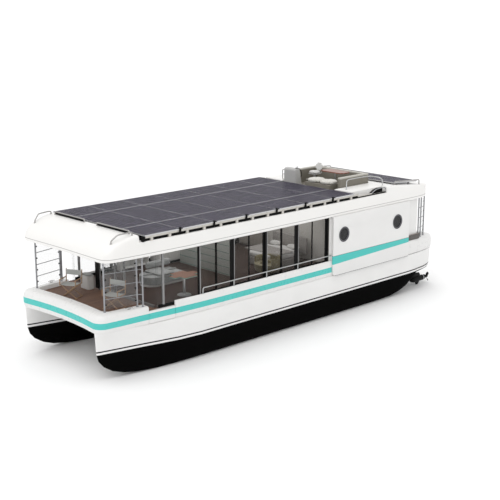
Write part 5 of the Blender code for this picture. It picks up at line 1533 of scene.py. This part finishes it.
low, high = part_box("galley_unit")
plinth_z = low.z + 0.10
tap_x, tap_y = 1.85, (-2.22, -2.04)
shape = bmesh.new()
add_box(shape, (low.x + 0.01, low.y + 0.005, low.z), (high.x - 0.01, high.y - 0.07, plinth_z), 0.003, 1)
add_box(shape, (low.x + 0.01, low.y + 0.005, plinth_z), (high.x - 0.01, high.y - 0.03, high.z - 0.04), 0.003)
add_box(shape, (low.x, low.y, high.z - 0.040), high, 0.006)
add_box(shape, (1.60, -2.16, high.z - 0.002), (2.10, -1.84, high.z + 0.004), 0.003, 2)
add_tube(shape, rounded([(tap_x, tap_y[0], high.z), (tap_x, tap_y[0], high.z + 0.26),
                         (tap_x, tap_y[1], high.z + 0.26), (tap_x, tap_y[1], high.z + 0.20)], 0.06, 5),
         0.012, 12, 2)
add_box(shape, (0.55, -2.20, high.z), (1.15, -1.78, high.z + 0.006), 0.003, 1)
made_of(shape, "galley", "boat", [carcass, frame_black, steel], ["galley_unit"])
door_start, door_step = (0.435, 0, 0), (0.446, 0, 0)
door = bmesh.new()
add_box(door, (-0.212, high.y - 0.0295, plinth_z + 0.02), (0.212, high.y - 0.010, high.z - 0.06), 0.003)
repeated("galley_doors", mesh_from(door, "galley_door"), 6, door_start, door_step, carcass)
pull = bmesh.new()
pull_z = 2.82
add_tube(pull, rounded([(-0.07, high.y - 0.010, pull_z), (-0.07, high.y - 0.002, pull_z),
                        (0.07, high.y - 0.002, pull_z), (0.07, high.y - 0.010, pull_z)], 0.004, 3), 0.005, 8)
repeated("galley_pulls", mesh_from(pull, "galley_pull"), 6, door_start, door_step, steel)

floor_top_z = 2.0603
shelf_x = (3.15, 4.40)
shelf_y = (-2.345, -2.04)
board_thick = 0.024
shape = bmesh.new()
for x in (shelf_x[0], (shelf_x[0] + shelf_x[1] - board_thick) / 2, shelf_x[1] - board_thick):
    add_box(shape, (x, shelf_y[0], floor_top_z), (x + board_thick, shelf_y[1], 3.70), 0.003)
add_box(shape, (shelf_x[0] + board_thick, shelf_y[0], floor_top_z),
        (shelf_x[1] - board_thick, shelf_y[0] + 0.012, 2.90), 0.002)
made_of(shape, "shelf_uprights", "boat", [carcass])
board = bmesh.new()
add_box(board, (shelf_x[0] + 0.0245, shelf_y[0] + 0.013, -0.012),
        (shelf_x[1] - 0.0245, shelf_y[1] - 0.004, 0.012), 0.003)
repeated("shelf_boards", mesh_from(board, "shelf_board"), 5, (0, 0, 2.14), (0, 0, 0.385), carcass)

divider_x = (1.90, 2.02)
divider_y = (-1.62, 1.10)
divider_top = 3.72
panel_x = divider_x[1] - 0.018
divider_grey = painted("divider_grey", ((0.40, 0.41, 0.385), (0.35, 0.36, 0.335)), 3.0, (),
                       (10.0, 0.42, 0.56))
dim_green = painted("dim_green", ((0.13, 0.22, 0.19), (0.10, 0.18, 0.155)), 8.0, (), (10.0, 0.38, 0.54))
bay_step = (divider_y[1] - divider_y[0] - board_thick) / 3
shape = bmesh.new()
add_box(shape, (panel_x, divider_y[0], floor_top_z), (divider_x[1], divider_y[1], divider_top), 0.003)
for k in range(4):
    y = divider_y[0] + bay_step * k
    add_box(shape, (divider_x[0], y, floor_top_z), (panel_x, y + board_thick, divider_top), 0.003)
made_of(shape, "divider_uprights", "boat", [divider_grey])
for k in range(3):
    strip = bmesh.new()
    add_box(strip, (divider_x[1] - 0.002, 0.030, -0.010), (divider_x[1] + 0.012, bay_step - 0.006, 0.010),
            0.003)
    repeated("divider_strips_%d" % (k + 1), mesh_from(strip, "divider_strip"), 7,
             (0, divider_y[0] + bay_step * k, 2.10), (0, 0, 0.262), dim_green)

# Bed, tub chair and curtain
# The double bed has an upholstered base with a round foot, a sprung mattress, a folded cover and
# two pillows. The low tub chair is olive cloth over foam. A pleated curtain hangs from a rail.
olive_cloth = cloth_finish("olive_cloth", (0.27, 0.235, 0.13), (0.20, 0.175, 0.095), 0.004)
linen = cloth_finish("linen", (0.70, 0.69, 0.67), (0.63, 0.62, 0.60), 0.003)
cover_cloth = cloth_finish("cover_cloth", (0.34, 0.32, 0.30), (0.26, 0.245, 0.23), 0.005)
low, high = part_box("bed")
shape = bmesh.new()
add_board(shape, (low.x, low.y, low.z), (high.x, high.y, low.z + 0.27), 0.42, 0.02)
add_box(shape, (low.x, low.y + 0.02, low.z + 0.27), (low.x + 0.09, high.y - 0.02, 2.95), 0.02)
made_of(shape, "bed_base", "boat", [cover_cloth])
stuffed("mattress", (low.x + 0.095, low.y + 0.02, low.z + 0.272), (high.x - 0.02, high.y - 0.02, high.z),
        0.30, 0.030, 0.018, linen, stands_for=["bed"], edge=0.04)
for number, y in enumerate((low.y + 0.45, high.y - 0.45), 1):
    stuffed("pillow_%d" % number, (low.x + 0.12, y - 0.33, high.z - 0.012),
            (low.x + 0.54, y + 0.33, high.z + 0.13), 0.08, 0.016, 0.028, linen, edge=0.045)


def sheet_piece(name, rows, finish, thick):
    """A sheet of cloth from rows of points, with its thickness."""
    shape = bmesh.new()
    grid = [[shape.verts.new(point) for point in row] for row in rows]
    for upper, lower in zip(grid, grid[1:]):
        for i in range(len(upper) - 1):
            shape.faces.new((upper[i], upper[i + 1], lower[i + 1], lower[i]))
    bmesh.ops.recalc_face_normals(shape, faces=shape.faces)
    piece = settle(plain_object(name, mesh_from(shape, name)), "boat", [finish], angle=180.0)
    skin = piece.modifiers.new("thickness", "SOLIDIFY")
    skin.thickness = thick
    skin.offset = 0.0


cover_rows = []
for k in range(25):
    y = low.y + 0.06 + (high.y - low.y - 0.12) * k / 24
    ripple = 0.006 * math.sin(k * 1.3) + 0.004 * math.sin(k * 0.55 + 1)
    cover_rows.append([(low.x + 0.70 + 0.92 * m / 20, y, high.z + 0.006 + ripple * math.sin(math.pi * m / 20)
                        + 0.003 * math.sin(m * 1.7 + k)) for m in range(21)])
sheet_piece("bed_cover", cover_rows, cover_cloth, 0.006)

chair = Vector((0.50, 1.50, 0))
tub_r = 0.505
shape = bmesh.new()
bridge(shape, [[shape.verts.new(place) for place in circle_of(chair + Vector((0, 0, z)), Vector((1, 0, 0)),
                                                              Vector((0, 1, 0)), radius, 40)]
               for z, radius in ((2.075, 0.43), (2.12, 0.475), (2.36, tub_r))])
back_profile = ((tub_r, 2.361), (0.515, 2.46), (0.515, 2.54), (0.495, 2.57), (0.465, 2.56), (0.445, 2.52),
                (0.435, 2.361))
bridge(shape, [[shape.verts.new(chair + Vector((math.cos(a) * r, math.sin(a) * r,
                                                z))) for r, z in back_profile]
               for a in (math.radians(60 + 12 * k) for k in range(21))])
add_turned(shape, ((0.0, 0.0), (0.0, 0.20), (0.0145, 0.20), (0.0145, 0.0)), (chair.x, chair.y, floor_top_z),
           (0, 0, 1), 32, 1)
made_of(shape, "tub_chair", "boat", [olive_cloth, steel], angle=50.0)
stuffed("tub_seat", (chair.x - 0.42, chair.y - 0.42, 2.362), (chair.x + 0.42, chair.y + 0.42, 2.47), 0.38,
        0.014, 0.012, olive_cloth, edge=0.03)

curtain_z = (2.12, 4.02)
curtain_x = -1.53
curtain_y = (-2.10, -0.84)
rail_z = curtain_z[1] + 0.02
drop = (curtain_z[1] - curtain_z[0]) / 19
curtain_rows = []
for m in range(20):
    deep = 0.030 - 0.010 * m / 19
    curtain_rows.append([(curtain_x + deep * math.sin(k * math.pi / 4),
                          curtain_y[0] + (curtain_y[1] - curtain_y[0]) * k / 120,
                          curtain_z[0] + drop * m) for k in range(121)])
curtain_cloth = cloth_finish("curtain_cloth", (0.46, 0.43, 0.39), (0.38, 0.355, 0.32), 0.003)
shape = bmesh.new()
add_tube(shape, [(curtain_x, -2.18, rail_z), (curtain_x, -0.78, rail_z)], 0.010, 12)
for y in (-2.16, -0.80):
    add_box(shape, (curtain_x - 0.010, y - 0.012, rail_z),
            (curtain_x + 0.010, y + 0.012, ceiling_z - 0.0002), 0.002)
made_of(shape, "curtain_rail", "boat", [steel])
sheet_piece("curtain", curtain_rows, curtain_cloth, 0.0015)

# Deck chairs and locker
# Folding chairs of oiled teak with grey canvas seats and backs stand on the foredeck beside a low
# white locker with a padded lid.
chair_wood = wood_finish("chair_wood", (0.38, 0.25, 0.15), (0.27, 0.165, 0.095), 2, 0.5, 0.0)
canvas = cloth_finish("canvas", (0.42, 0.43, 0.41), (0.35, 0.36, 0.345), 0.003, 0.15)


def deck_chair(name, x, y, turn):
    """A folding chair at a place on the foredeck, turned about its upright axis."""
    c, s = math.cos(turn), math.sin(turn)

    def spot(u, v, w):
        return Vector((x + u * c - v * s, y + u * s + v * c, w + floor_top_z))

    def bar(start, end, wide, deep):
        """A planed bar between two points of the chair."""
        scratch = bmesh.new()
        start, end = Vector(start), Vector(end)
        along = end - start
        add_box(scratch, (-wide / 2, -deep / 2, 0.0), (wide / 2, deep / 2, along.length), 0.004)
        aim = along.to_track_quat("Z", "Y")
        for vert in scratch.verts:
            vert.co = spot(*(aim @ vert.co + start))
        mesh = mesh_from(scratch, "bar")
        shape.from_mesh(mesh)
        bpy.data.meshes.remove(mesh)

    shape = bmesh.new()
    for v in (-0.284, 0.284):
        bar((-0.26, v, 0.014), (0.26, v, 0.014), 0.026, 0.028)
        bar((-0.24, v, 0.444), (0.24, v, 0.444), 0.026, 0.028)
        bar((-0.235, v, 0.626), (0.24, v, 0.626), 0.046, 0.024)
        bar((0.225, v, 0.45), (0.225, v, 0.615), 0.026, 0.028)
        bar((-0.222, v, 0.44), (-0.258, v, 0.90), 0.026, 0.032)
    for u in (-0.19, 0.19):
        for way in (-1, 1):
            leg_u = u + 0.013 * way
            bar((leg_u, -way * 0.262, 0.020), (leg_u, way * 0.262, 0.438), 0.028, 0.024)
    made_of(shape, name + "_frame", "boat", [chair_wood], [name])
    seat = [[spot(-0.215 + 0.43 * m / 12, v, 0.4605 - 0.022 * (1 - (v / 0.27) ** 2))
             for v in (-0.27 + 0.54 * k / 16 for k in range(17))] for m in range(13)]
    sheet_piece(name + "_seat", seat, canvas, 0.003)
    back = []
    for m in range(9):
        w = 0.70 + 0.17 * m / 8
        u = -0.222 - 0.036 * (w - 0.44) / 0.46 + 0.0175
        back.append([spot(u - 0.018 * (1 - (v / 0.28) ** 2), v,
                          w) for v in (-0.28 + 0.56 * k / 16 for k in range(17))])
    sheet_piece(name + "_back", back, canvas, 0.003)


deck_chair("deck_chair_starboard", 7.54, -0.62, math.radians(28))
deck_chair("deck_chair_port", 7.28, 1.38, math.radians(20))

low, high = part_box("deck_locker")
shape = bmesh.new()
add_board(shape, (low.x, low.y, low.z), (high.x, high.y, high.z - 0.055), 0.03, 0.006)
add_board(shape, (low.x, low.y, high.z - 0.053), (high.x, high.y, high.z - 0.035), 0.03, 0.006)
made_of(shape, "locker_box", "boat", [carcass])
stuffed("locker_pad", (low.x, low.y, high.z - 0.034), (high.x, high.y, high.z + 0.012), 0.03, 0.009, 0.006,
        cabin_grey, stands_for=["deck_locker"], edge=0.012)
